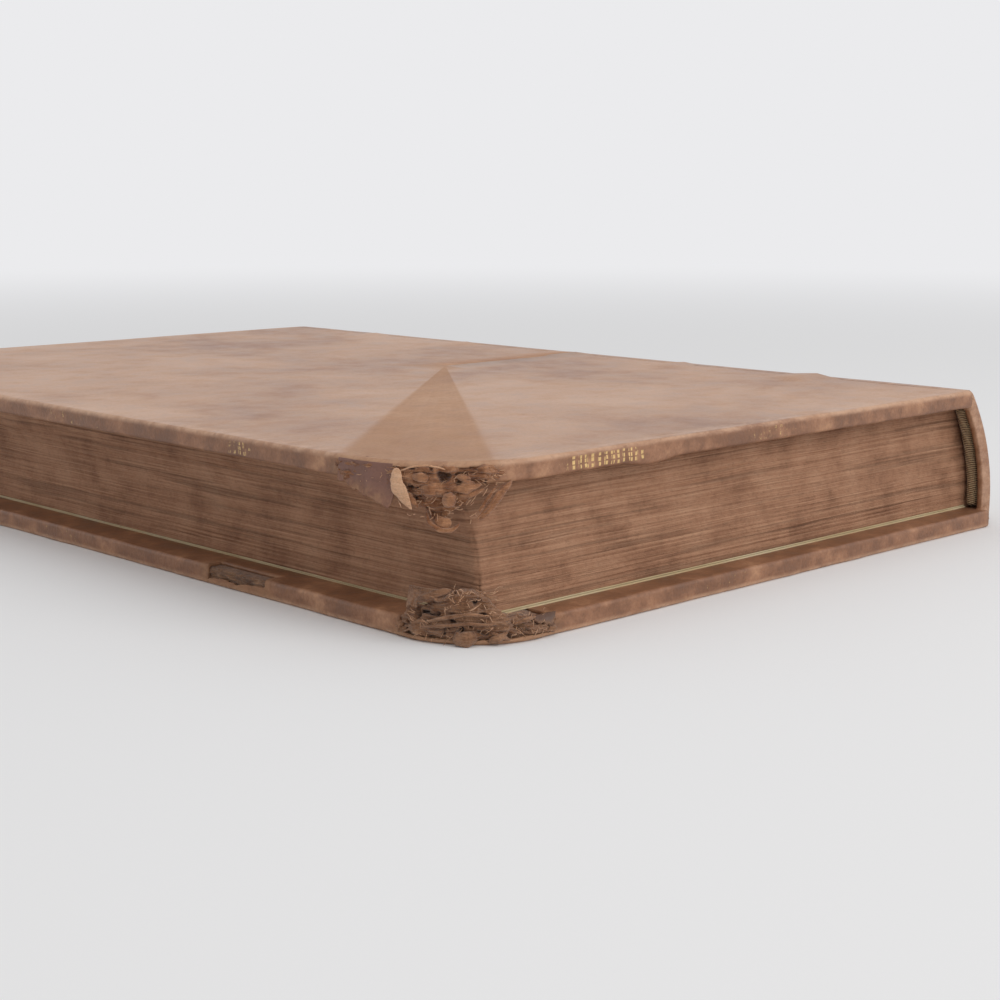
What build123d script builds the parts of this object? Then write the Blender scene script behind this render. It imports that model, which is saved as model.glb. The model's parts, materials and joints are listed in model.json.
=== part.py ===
from build123d import *
import math
import os

# An old calf-bound book lying shut on its back cover: boards laced on with raised cords, tight leather back.
# All sizes are millimetres. While it is built, the back cover's head and fore edges lie on y = 0 and x = 0,
# its underside on z = 0, with the spine towards -X and the tail towards -Y.

# Overall sizes of the closed book.
cover_width = 200.0       # corner of the spine to the fore edge of one cover
cover_height = 300.0      # tail to head
book_thickness = 38.0     # over both covers

# The book leans: its front cover has slipped sideways over the back cover and took the leaves with it.
slip_to_fore = 4.6
slip_to_tail = 4.2

# Thicknesses.
leather_t = 0.8
board_t = 3.1
paper_t = 0.2
lining_t = 0.4

# Covers.
turn_in_width = 15.0      # leather folded over onto the inside of a board
front_worn_radius = 28.0  # head corner at the fore edge, worn round
back_worn_radius = 20.0
sound_corner_radius = 3.0
skin_loss_margin = 2.0    # the edge leather ends this far before the worn corner's round begins
tuft_height = 7.0         # loosened board fibres that stand off a worn corner, into the gap between the covers
tuft_clear = 1.0          # between that tuft and the leaves
tear_start = 69.5         # torn edge leather on the back cover's fore edge, measured from the head
tear_length = 23.0
tear_depth = 3.0          # how far the tear reaches over the turned-in leather
tear_sill = 2.4           # leather left standing above the underside along the tear

# Leaves.
fore_square = 10.5        # cover beyond the leaves at the fore edge
end_square = 7.5          # cover beyond the leaves at head and tail
fore_hollow = 2.3         # depth of the hollow along the fore edge
leaf_gap = 0.15           # between a cover's paper and the flyleaf that faces it

# Spine.
shoulder_width = 3.0      # spine corner to the line where a cover bends
shoulder_radius = 2.8
spine_bulge = 4.5         # how far the back swells past a straight line from corner to corner
joint_gap = 0.15          # each side of the bending line
cap_drop = 1.5            # the leather caps end this far inside the covers' head and tail edges
cap_width = 5.5
cap_turn_in = 12.0

# Raised cords.
cord_count = 5
cord_pitch = 49.5
cord_radius = 1.6
cord_lift = 2.5           # height of a leather band over the flat of the spine
lining_clear = 0.8        # between the leather of a band and the lining beside it
lace_length = 14.0        # cord let into the outside of a board
lace_width = 4.0
lace_depth = 1.2
lace_hole_radius = 1.8

# Headbands.
headband_radius = 1.8
headband_clear = 0.1

# Worked out from the sizes above.
cover_t = leather_t + board_t + leather_t
inside_t = cover_t + paper_t
leaves_low = inside_t + leaf_gap + paper_t
leaves_high = book_thickness - leaves_low
back_joint_x = shoulder_width - cover_width
front_joint_x = back_joint_x + slip_to_fore
core_inset = leather_t + lining_t
lean_x = slip_to_fore / book_thickness
lean_y = slip_to_tail / book_thickness
spare = 10.0              # how far a cutting shape reaches past what it cuts
reach = 2 * cover_height  # longer than anything in the book


def block(x0, x1, y0, y1, z0, z1):
    """A box from its two corners."""
    box = Box(x1 - x0, y1 - y0, z1 - z0, align=(Align.MIN, Align.MIN, Align.MIN))
    return Pos(x0, y0, z0) * box


def along_book(section):
    """A section drawn in x and z, drawn out along the whole length of the book."""
    return extrude(Plane.XZ * section, amount=reach, both=True)


def leaning_slab(tail_y, head_y):
    """All that lies between two end planes that lean towards the tail, placed by their y at the underside."""
    low = -spare
    high = book_thickness + spare
    corners = [
        (tail_y - lean_y * low, low),
        (head_y - lean_y * low, low),
        (head_y - lean_y * high, high),
        (tail_y - lean_y * high, high),
    ]
    outline = make_face(Polyline(*corners, close=True))
    return extrude(Plane.YZ * outline, amount=reach, both=True)


# The back of the book: one arc from corner to corner, with rounded shoulders.

def spine_arc():
    """Centre and radius of the arc, its two ends and its crown, in x and z."""
    low = Vector(-cover_width, 0)
    high = Vector(slip_to_fore - cover_width, book_thickness)
    half = (high - low).length / 2
    inward = Vector(book_thickness, -slip_to_fore).normalized()
    radius = (half**2 + spine_bulge**2) / (2 * spine_bulge)
    middle = (low + high) / 2
    centre = middle + inward * (radius - spine_bulge)
    crown = middle - inward * spine_bulge
    return centre, radius, low, crown, high


def back_section(inset):
    """Section of the whole back, taken in from the leather's face by inset and open towards the fore edge."""
    low, crown, high = spine_arc()[2:]
    far_top = Vector(0, book_thickness)
    far_low = Vector(0, 0)
    edges = ThreePointArc(low, crown, high) + Polyline(high, far_top, far_low, low)
    face = make_face(edges)
    corners = face.vertices().sort_by(Axis.X)[:2]
    face = fillet(corners, shoulder_radius)
    if inset == 0:
        return face
    return offset(face, amount=-inset, kind=Kind.INTERSECTION)


def behind_joints():
    """The part of the section that stays with the leaves when a cover opens."""
    high = book_thickness + spare
    low_x = back_joint_x - joint_gap
    high_x = front_joint_x - joint_gap
    middle = book_thickness / 2
    left = -cover_width - 2 * spare
    points = [(left, -spare), (low_x, -spare), (low_x, middle), (high_x, middle), (high_x, high), (left, high)]
    return make_face(Polyline(*points, close=True))


def back_shell(outer_inset, inner_inset):
    """A layer of the back between two depths under the leather's face."""
    ring = back_section(outer_inset) - back_section(inner_inset)
    return along_book(ring & behind_joints())


def leaning_ring(radius, thickness_radius, y_low):
    """A round cord bent along the back's arc in a plane that leans like the leaves."""
    centre = spine_arc()[0]
    tilt = math.degrees(math.atan(lean_y))
    place = Pos(centre.X, y_low - lean_y * centre.Y, centre.Y) * Rot(X=90 + tilt)
    return place * Torus(radius, thickness_radius)


def between_levels(margin):
    """The slab of the back region that keeps margin away from the book's two flat faces."""
    keep = along_book(behind_joints())
    return keep & block(-cover_width - spare, spare, -reach, reach, margin, book_thickness - margin)


def cord_places():
    """y of each raised cord at the level of the underside, from the head down."""
    first = -(cover_height - cord_pitch * (cord_count - 1)) / 2
    return [first - cord_pitch * number for number in range(cord_count)]


# Leaves and what is fixed to them.

def leaves_core():
    """Section of the sewn leaves: backed shoulders, and a hollow fore edge that leans."""
    low_x = lean_x * leaves_low - fore_square
    high_x = lean_x * leaves_high - fore_square
    middle = Vector((low_x + high_x) / 2 - fore_hollow, (leaves_low + leaves_high) / 2)
    inner = -cover_width / 2
    edges = ThreePointArc((low_x, leaves_low), middle, (high_x, leaves_high))
    edges += Polyline((high_x, leaves_high), (inner, leaves_high), (inner, leaves_low), (low_x, leaves_low))
    fore_part = make_face(edges)
    back_part = back_section(core_inset) & behind_joints()
    low_joint = back_joint_x - joint_gap
    high_joint = front_joint_x - joint_gap
    half = book_thickness / 2
    leaves = [(low_joint, leaves_low), (inner, leaves_low), (inner, leaves_high), (high_joint, leaves_high)]
    middle_part = make_face(Polyline(*leaves, (high_joint, half), (low_joint, half), close=True))
    return fore_part + middle_part + back_part


def leaves_length():
    """The leaning slab that the leaves fill from tail to head."""
    return leaning_slab(end_square - cover_height, -end_square)


def make_text_block(cords):
    """All the leaves as one solid, with room for the cords over its shoulders."""
    leaves = along_book(leaves_core()) & leaves_length()
    return leaves - cords


def make_flyleaf(joint_x, z_low, z_high):
    """One free sheet against the leaves, as wide as they are, from the joint to the fore edge."""
    fore_x = lean_x * (z_low + z_high) / 2 - fore_square
    sheet = block(joint_x + joint_gap, fore_x, -reach, reach, z_low, z_high)
    return sheet & leaves_length()


def make_cord(y_low):
    """A sewing cord over the back, flattened where it crosses the shoulders towards the boards."""
    radius = spine_arc()[1] + cord_lift - leather_t - cord_radius
    cord = leaning_ring(radius, cord_radius, y_low) & between_levels(leather_t)
    cord -= along_book(back_section(core_inset))
    low_x = -cover_width + lace_depth / 2
    for joint_x, z_low in [(back_joint_x, leather_t), (front_joint_x, book_thickness - leather_t - lace_depth)]:
        y_here = y_low - lean_y * (z_low + lace_depth / 2)
        start = low_x if joint_x == back_joint_x else low_x + slip_to_fore
        half = lace_width / 2
        cord += block(start, joint_x - joint_gap, y_here - half, y_here + half, z_low, z_low + lace_depth)
    return cord


def make_spine_lining():
    """Paper glued to the back in the panels between the cords, short of the turned-in leather at both ends."""
    layer = back_shell(leather_t, core_inset)
    half_band = cord_radius + leather_t + lining_clear
    heads = [-(cap_drop + cap_turn_in)] + [y - half_band for y in cord_places()]
    tails = [y + half_band for y in cord_places()] + [cap_drop + cap_turn_in - cover_height]
    panels = [layer & leaning_slab(tail, head) for head, tail in zip(heads, tails)]
    return Compound(children=[solid for panel in panels for solid in panel.solids()])


def make_cap(y_end, towards_middle):
    """Leather folded over one end of the spine: a cap over the headband and a thin turn-in behind it."""
    inner = y_end + towards_middle * leather_t
    deep = y_end + towards_middle * cap_turn_in
    lip = back_shell(0, cap_width) & leaning_slab(min(y_end, inner), max(y_end, inner))
    fold = back_shell(leather_t, core_inset) & leaning_slab(min(y_end, deep), max(y_end, deep))
    return lip + fold


def make_spine_leather(cords):
    """The leather of the back in one piece: flat panels, raised bands and a cap at each end."""
    head_y = -cap_drop
    tail_y = cap_drop - cover_height
    leather = back_shell(0, leather_t) & leaning_slab(tail_y, head_y)
    leather += make_cap(head_y, -1)
    leather += make_cap(tail_y, 1)
    radius = spine_arc()[1] + cord_lift - leather_t - cord_radius
    room = between_levels(0)
    core = along_book(back_section(core_inset))
    for y_low in cord_places():
        band = leaning_ring(radius, cord_radius + leather_t, y_low) & room
        leather += band - core
    return leather - cords


def make_headband(y_seat, towards_end):
    """A worked roll that sits on one end of the leaves behind the cap."""
    radius = spine_arc()[1] - core_inset - headband_clear - headband_radius
    y_low = y_seat + towards_end * (headband_radius + headband_clear)
    ring = leaning_ring(radius, headband_radius, y_low)
    return ring & between_levels(cover_t)


# One cover, made as the back cover: its outside on z = 0, its inside facing up.

def cover_outline(inset, worn_radius):
    """Outline of a cover taken in from its three free edges by inset, with one corner worn round."""
    low_x = back_joint_x + joint_gap
    high_x = -inset
    low_y = inset - cover_height
    high_y = -inset
    centre = Pos((low_x + high_x) / 2, (low_y + high_y) / 2)
    face = centre * Rectangle(high_x - low_x, high_y - low_y)
    sound_corner = face.vertices().sort_by_distance((high_x, low_y))[0]
    face = fillet(sound_corner, sound_corner_radius - inset)
    worn_corner = face.vertices().sort_by_distance((high_x, high_y))[0]
    return fillet(worn_corner, worn_radius - inset)


def plate(outline, z_low, z_high):
    """A flat outline given thickness between two levels."""
    return extrude(Pos(0, 0, z_low) * outline, amount=z_high - z_low)


def corner_zone(size, z_low, z_high):
    """A box over the corner at the head and fore edge."""
    return block(-size, spare, -size, spare, z_low, z_high)


def turn_in_window():
    """The bare inside of the board, framed on three sides by the turned-in leather."""
    return block(
        back_joint_x - spare, -turn_in_width,
        turn_in_width - cover_height, -turn_in_width,
        cover_t - leather_t, cover_t + spare,
    )


def make_lacings():
    """The ends of the cords: let into the outside of the board, then through a hole to its inside."""
    start = back_joint_x + joint_gap
    end = start + lace_length
    pieces = []
    for y in cord_places():
        half = lace_width / 2
        flat = block(start, end, y - half, y + half, leather_t, leather_t + lace_depth)
        stem_place = Pos(end - lace_hole_radius - joint_gap, y, leather_t + board_t / 2)
        stem = stem_place * Cylinder(lace_hole_radius, board_t)
        pieces.append(flat + stem)
    return Compound(children=[solid for piece in pieces for solid in piece.solids()])


def make_tuft(worn_radius):
    """Board fibres pushed up at the worn corner, in the strip between the leaves and the corner's round."""
    room = fore_square - lean_x * (cover_t + tuft_height) - tuft_clear
    round_x = worn_radius - math.sqrt(worn_radius**2 - (worn_radius / 2) ** 2)
    width = room - round_x
    centre_x = -(room + round_x) / 2
    centre_y = -worn_radius / 2 - width
    foot = Pos(centre_x, centre_y, cover_t - leather_t) * Ellipse(width / 2, width)
    tip = Pos(centre_x, centre_y, cover_t + tuft_height) * Ellipse(width / 4, width / 2)
    return loft([foot, tip])


def make_board(worn_radius, lacings):
    """A pasteboard plate, swollen to the leather's full height where the worn corner has lost its skin."""
    outline = cover_outline(leather_t, worn_radius)
    board = plate(outline, leather_t, leather_t + board_t)
    swell = plate(outline, leather_t + board_t, cover_t) & corner_zone(worn_radius, 0, cover_t)
    board += swell + make_tuft(worn_radius)
    return board - lacings


def make_cover_leather(worn_radius):
    """The leather of one cover, with its edges wrapped round the board and turned in, bar the worn corner."""
    leather = plate(cover_outline(0, worn_radius), 0, cover_t)
    leather -= plate(cover_outline(leather_t, worn_radius), leather_t, leather_t + board_t)
    leather -= turn_in_window()
    return leather - corner_zone(worn_radius + skin_loss_margin, leather_t, cover_t + spare)


def make_tear():
    """The bite out of the leather on the back cover's fore edge."""
    head_y = -tear_start
    return block(-tear_depth, spare, head_y - tear_length, head_y, tear_sill, cover_t + spare)


def make_pastedown(leather, board, worn_radius, lean_sign):
    """Paper pasted over the board and its turn-ins, stepping down into the window between them."""
    fore_x = lean_sign * lean_x * inside_t - fore_square
    joint_x = back_joint_x + joint_gap
    z_low = cover_t - leather_t
    sheet = block(joint_x, fore_x, end_square - cover_height, -end_square, z_low, inside_t)
    recess = turn_in_window() & block(
        back_joint_x - spare, -turn_in_width - paper_t,
        turn_in_width + paper_t - cover_height, -turn_in_width - paper_t,
        z_low + paper_t, inside_t + spare,
    )
    recess -= corner_zone(worn_radius + paper_t, z_low, inside_t + spare)
    under = corner_zone(worn_radius + skin_loss_margin, z_low, cover_t) - turn_in_window()
    return sheet - recess - leather - board - under


def make_cover(worn_radius, lean_sign, torn):
    """The nodes of one cover, lying as the back cover does."""
    lacings = make_lacings()
    board = make_board(worn_radius, lacings)
    leather = make_cover_leather(worn_radius)
    pastedown = make_pastedown(leather, board, worn_radius, lean_sign)
    if torn:
        leather -= make_tear()
    return {"board": board, "leather": leather, "pastedown": pastedown, "cord_lacings": lacings}


def as_front(shape):
    """Turns a cover over to lie on the leaves, slipped sideways with them."""
    turned = mirror(shape, about=Plane.XY)
    return Pos(slip_to_fore, -slip_to_tail, book_thickness) * turned


def make_book():
    """Every node by name, in the building place."""
    cords = [make_cord(y) for y in cord_places()]
    nodes = {
        "text_block": make_text_block(cords),
        "back_flyleaf": make_flyleaf(back_joint_x, leaves_low - paper_t, leaves_low),
        "front_flyleaf": make_flyleaf(front_joint_x, leaves_high, leaves_high + paper_t),
        "spine_lining": make_spine_lining(),
        "spine_leather": make_spine_leather(cords),
        "headband": make_headband(-end_square, 1),
        "tailband": make_headband(end_square - cover_height, -1),
    }
    for number, cord in enumerate(cords, start=1):
        nodes[f"sewing_cord_{number}"] = cord
    for name, shape in make_cover(back_worn_radius, 1, True).items():
        nodes[f"back_{name}"] = shape
    for name, shape in make_cover(front_worn_radius, -1, False).items():
        nodes[f"front_{name}"] = as_front(shape)
    return nodes


def main():
    nodes = make_book()
    # The origin is the middle of the box around the whole book, at its underside.
    boxes = [shape.bounding_box() for shape in nodes.values()]
    low_x = min(box.min.X for box in boxes)
    high_x = max(box.max.X for box in boxes)
    low_y = min(box.min.Y for box in boxes)
    high_y = max(box.max.Y for box in boxes)
    home = Pos(-(low_x + high_x) / 2, -(low_y + high_y) / 2, 0)
    os.makedirs("parts", exist_ok=True)
    for name, shape in nodes.items():
        export_step(home * shape, f"parts/{name}.step")
    shift = home.position
    print("building place moved by", shift)
    print("back cover bends at x", back_joint_x + shift.X, "z", -joint_gap)
    print("front cover bends at x", front_joint_x + shift.X, "z", book_thickness + joint_gap)


main()
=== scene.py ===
import json
import math

import bmesh
import bpy
import numpy as np
from bpy.props import FloatProperty, FloatVectorProperty, IntProperty, PointerProperty
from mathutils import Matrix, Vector


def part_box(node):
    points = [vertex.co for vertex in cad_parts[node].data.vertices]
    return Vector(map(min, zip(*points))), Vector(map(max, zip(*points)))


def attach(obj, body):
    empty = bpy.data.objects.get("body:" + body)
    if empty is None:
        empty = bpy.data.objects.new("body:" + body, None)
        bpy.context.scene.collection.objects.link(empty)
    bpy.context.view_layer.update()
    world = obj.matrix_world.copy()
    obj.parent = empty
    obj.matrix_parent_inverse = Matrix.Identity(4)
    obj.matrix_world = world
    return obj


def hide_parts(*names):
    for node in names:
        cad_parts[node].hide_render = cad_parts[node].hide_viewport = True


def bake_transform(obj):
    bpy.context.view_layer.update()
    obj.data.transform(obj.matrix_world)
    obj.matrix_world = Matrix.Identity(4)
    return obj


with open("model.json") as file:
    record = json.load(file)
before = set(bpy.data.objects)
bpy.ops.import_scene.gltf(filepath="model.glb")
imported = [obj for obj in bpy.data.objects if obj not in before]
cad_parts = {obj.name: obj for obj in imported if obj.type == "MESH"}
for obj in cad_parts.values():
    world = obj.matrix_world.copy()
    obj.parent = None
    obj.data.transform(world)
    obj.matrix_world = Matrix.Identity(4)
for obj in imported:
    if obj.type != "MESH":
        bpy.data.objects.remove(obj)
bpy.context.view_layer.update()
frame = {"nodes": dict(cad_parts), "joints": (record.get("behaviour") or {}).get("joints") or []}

bl_info = {
    "name": "Old calf-bound book",
    "version": (1, 0, 0),
    "blender": (4, 5, 0),
    "location": "View3D > Sidebar > Book",
    "description": "Builds the leather, leaves, frayed boards and stage of an old calf-bound book",
    "category": "Object",
}

MM = 0.001

# Everything below is worked out in millimetres in the bench place: the back cover's head and fore edges lie
# on
# y = 0 and x = 0 and its underside on z = 0. HOME carries the bench place into the frame.
BACK_LOW, BACK_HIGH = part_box("back_leather")
FRONT_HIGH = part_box("front_leather")[1]
LEAF_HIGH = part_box("back_flyleaf")[1]
FRONT_LEAF_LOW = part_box("front_flyleaf")[0]
HOME = np.array([BACK_HIGH.x, BACK_HIGH.y, 0.0]) / MM
HEIGHT = (BACK_HIGH.y - BACK_LOW.y) / MM
THICKNESS = FRONT_HIGH.z / MM
COVER_T = BACK_HIGH.z / MM
SLIP_X = (FRONT_HIGH.x - BACK_HIGH.x) / MM
SLIP_Y = (BACK_HIGH.y - FRONT_HIGH.y) / MM
LEAN_X = SLIP_X / THICKNESS
LEAN_Y = SLIP_Y / THICKNESS
JOINTS = {joint["child"]: joint for joint in frame["joints"]}
JOINT_X = JOINTS["back_cover"]["pos_m"][0] / MM - HOME[0]
LEAVES_LOW = LEAF_HIGH.z / MM
LEAVES_HIGH = FRONT_LEAF_LOW.z / MM
BAND_COUNT = sum(name.startswith("sewing_cord_") for name in frame["nodes"])
CORD_BOXES = [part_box(f"sewing_cord_{n + 1}") for n in range(BAND_COUNT)]
BANDS = [(low.y + high.y) / 2 / MM - HOME[1] for low, high in CORD_BOXES]

SHOULDER = 3.0          # spine corner to the bending line
BLOCK_SPINE_X = JOINT_X - SHOULDER
BULGE = 4.5
BAND_LIFT = 2.5
LEATHER_T = 0.8
CORE_INSET = 1.2
CAP_DROP = 1.5
FORE_SQUARE = 10.5
END_SQUARE = 7.5
FORE_HOLLOW = 2.3
JOINT_GAP = 0.15
WORN_R = {"front": 28.0, "back": 20.0}
SOUND_R = 3.0
TOP_ARRIS = 1.0         # rounding of a cover edge on the outside
INNER_ARRIS = 0.9
TURN_IN = 14.0
BAND_HALF_WIDTH = 4.8   # of a raised band, measured along the book
EDGE_BAND = 2.5         # strip of a cover's face beside its edge that follows the outline
GILT_PITCH = 6.4
CAMERA_PLACE = (240.57, 257.84, 95.85)
CAMERA_LENS = 64.55
CAMERA_SENSOR = 36.0
CAMERA_YAW = 226.023    # degrees, 0 along +X
CAMERA_PITCH = -10.220


# Noise, curves and meshes.

def smooth_noise(points, cell, seed):
    """Random values on a cubic lattice with spacing cell, eased between lattice points; -1 to 1."""
    table = np.random.default_rng(seed).uniform(-1, 1, (32, 32, 32))
    scaled = points / np.asarray(cell, float)
    base = np.floor(scaled).astype(int)
    part = scaled - base
    part = part * part * (3 - 2 * part)
    total = np.zeros(points.shape[:-1])
    for corner in range(8):
        bits = np.array([corner & 1, corner >> 1 & 1, corner >> 2 & 1])
        index = (base + bits) & 31
        weight = np.where(bits, part, 1 - part).prod(-1)
        total = total + weight * table[index[..., 0], index[..., 1], index[..., 2]]
    return total


def rough_noise(points, cell, seed, octaves=4, gain=0.5):
    """Layers of smooth noise, each half the cell and gain times the height of the one before."""
    total = np.zeros(points.shape[:-1])
    for octave in range(octaves):
        total = total + gain**octave * smooth_noise(points, np.asarray(cell, float) / 2**octave,
                                                    seed + octave)
    return total


def ease(value, low, high):
    """0 below low, 1 above high, and a smooth step between."""
    part = np.clip((value - low) / (high - low), 0, 1)
    return part * part * (3 - 2 * part)


def hump(value, centre, half_width):
    """A smooth bell of height 1 that reaches 0 at half_width either side of its centre."""
    part = np.clip(np.abs(value - centre) / half_width, 0, 1)
    return (1 - part * part) ** 2


def stations(*stretches):
    """Sample positions from (start, end, count) stretches in a row, without repeats."""
    parts = [np.linspace(start, end, count, endpoint=False) for start, end, count in stretches]
    return np.concatenate(parts + [[stretches[-1][1]]])


def unit(vectors):
    """Vectors brought to length 1."""
    return vectors / np.maximum(np.linalg.norm(vectors, axis=-1, keepdims=True), 1e-9)


def grid_faces(rows, columns, wrap_rows, wrap_columns):
    """Corner indices of the quads of a grid, closed on itself where asked."""
    r = np.arange(rows if wrap_rows else rows - 1)
    c = np.arange(columns if wrap_columns else columns - 1)
    r, c = np.meshgrid(r, c, indexing="ij")
    r2, c2 = (r + 1) % rows, (c + 1) % columns
    return np.stack([r * columns + c, r2 * columns + c, r2 * columns + c2, r * columns + c2], -1).reshape(-1,
                                                                                                          4)


def mesh_object(name, points, faces, uv=None, paint=None, inside=None, clean=True):
    """A smooth-shaded object from points in bench millimetres; paint holds named values per point.
    Where inside is given, the faces are turned to point away from it, otherwise a closed shell is made to
    point out."""
    points = np.asarray(points, float).reshape(-1, 3)
    faces = np.asarray(faces)
    if inside is not None:
        corners = points[faces[:, :3]]
        normals = np.cross(corners[:, 1] - corners[:, 0], corners[:, 2] - corners[:, 0])
        away = corners.mean(1) - np.asarray(inside, float)
        if (normals * away).sum() < 0:
            faces = faces[:, ::-1]
    mesh = bpy.data.meshes.new(name)
    mesh.vertices.add(len(points))
    mesh.vertices.foreach_set("co", ((points + HOME) * MM).astype(np.float32).ravel())
    mesh.loops.add(faces.size)
    mesh.loops.foreach_set("vertex_index", faces.astype(np.int32).ravel())
    mesh.polygons.add(len(faces))
    mesh.polygons.foreach_set("loop_start", np.arange(0, faces.size, faces.shape[1], dtype=np.int32))
    mesh.update(calc_edges=True)
    mesh.polygons.foreach_set("use_smooth", np.ones(len(faces), bool))
    if uv is not None:
        layer = mesh.uv_layers.new(name="along_across")
        values = np.asarray(uv, float).reshape(-1, 2)[faces.ravel()] * MM
        layer.data.foreach_set("uv", values.astype(np.float32).ravel())
    for key, values in (paint or {}).items():
        attribute = mesh.attributes.new(key, "FLOAT", "POINT")
        attribute.data.foreach_set("value", np.asarray(values, np.float32).ravel())
    if clean:
        shell = bmesh.new()
        shell.from_mesh(mesh)
        bmesh.ops.remove_doubles(shell, verts=shell.verts, dist=2e-6)
        bmesh.ops.dissolve_degenerate(shell, edges=shell.edges, dist=1e-7)
        if inside is None:
            bmesh.ops.recalc_face_normals(shell, faces=shell.faces)
        shell.to_mesh(mesh)
        shell.free()
    piece = bpy.data.objects.new(name, mesh)
    bpy.context.scene.collection.objects.link(piece)
    return piece


def add_thickness(piece, thickness):
    """Gives an open sheet its wall, grown inwards from the face that shows."""
    wall = piece.modifiers.new("wall", "SOLIDIFY")
    wall.thickness = thickness * MM
    wall.offset = -1
    wall.use_even_offset = False


# Places on a cover and on the back of the book.

def cover_place(side, x, y, h):
    """Bench place of a point in a cover's own measures: x and y from its fore and head edges, h from its
    outer face.
    The front cover is the back cover's measures turned over and slipped sideways."""
    x, y, h = np.broadcast_arrays(x, y, h)
    if side == "front":
        return np.stack([x + SLIP_X, y - SLIP_Y, THICKNESS - h], -1)
    return np.stack([x, y, h], -1).astype(float)


def outline(s, start, worn):
    """Place and outward direction at distance s along a cover's free edges: straight along the head from x =
    start,
    a quarter circle round the worn corner, straight down the fore edge, a small quarter circle, back along
    the tail."""
    head = -start - worn
    bend = math.pi / 2 * worn
    fore = HEIGHT - worn - SOUND_R
    turn = math.pi / 2 * SOUND_R
    a = np.clip((s - head) / worn, 0, math.pi / 2)
    b = np.clip((s - head - bend - fore) / SOUND_R, 0, math.pi / 2)
    down = s - head - bend
    back = s - head - bend - fore - turn
    choices = [s <= head, down <= 0, down <= fore, back <= 0]
    x = np.select(choices, [start + s, worn * np.sin(a) - worn, 0 * s, SOUND_R * np.cos(b) - SOUND_R],
                  -SOUND_R - back)
    y = np.select(choices,
            [0 * s, worn * np.cos(a) - worn, -worn - down, SOUND_R - HEIGHT - SOUND_R * np.sin(b)], -HEIGHT)
    return np.stack([x, y], -1), np.stack([np.sin(a + b), np.cos(a + b)], -1)


def corner_place(side, degrees, out, h):
    """Place by angle round the worn corner (0 at the head edge, 90 at the fore edge, straight on past both),
    distance
    outside its round, and depth from the outer face."""
    worn = WORN_R[side]
    degrees, out, h = np.broadcast_arrays(np.asarray(degrees, float), out, h)
    angle = np.radians(np.clip(degrees, 0, 90))
    past = np.radians(degrees - np.clip(degrees, 0, 90)) * worn
    x = -worn + (worn + out) * np.sin(angle) + np.where(degrees < 0, past, 0)
    y = -worn + (worn + out) * np.cos(angle) - np.where(degrees > 90, past, 0)
    return cover_place(side, x, y, h)


def back_arc(z):
    """x of the leather's face on the flat of the spine at height z: a leaning line that swells by BULGE
    halfway up."""
    return BLOCK_SPINE_X + LEAN_X * z - BULGE * (1 - ((z - THICKNESS / 2) / (THICKNESS / 2)) ** 2)


# The leaves.

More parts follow.
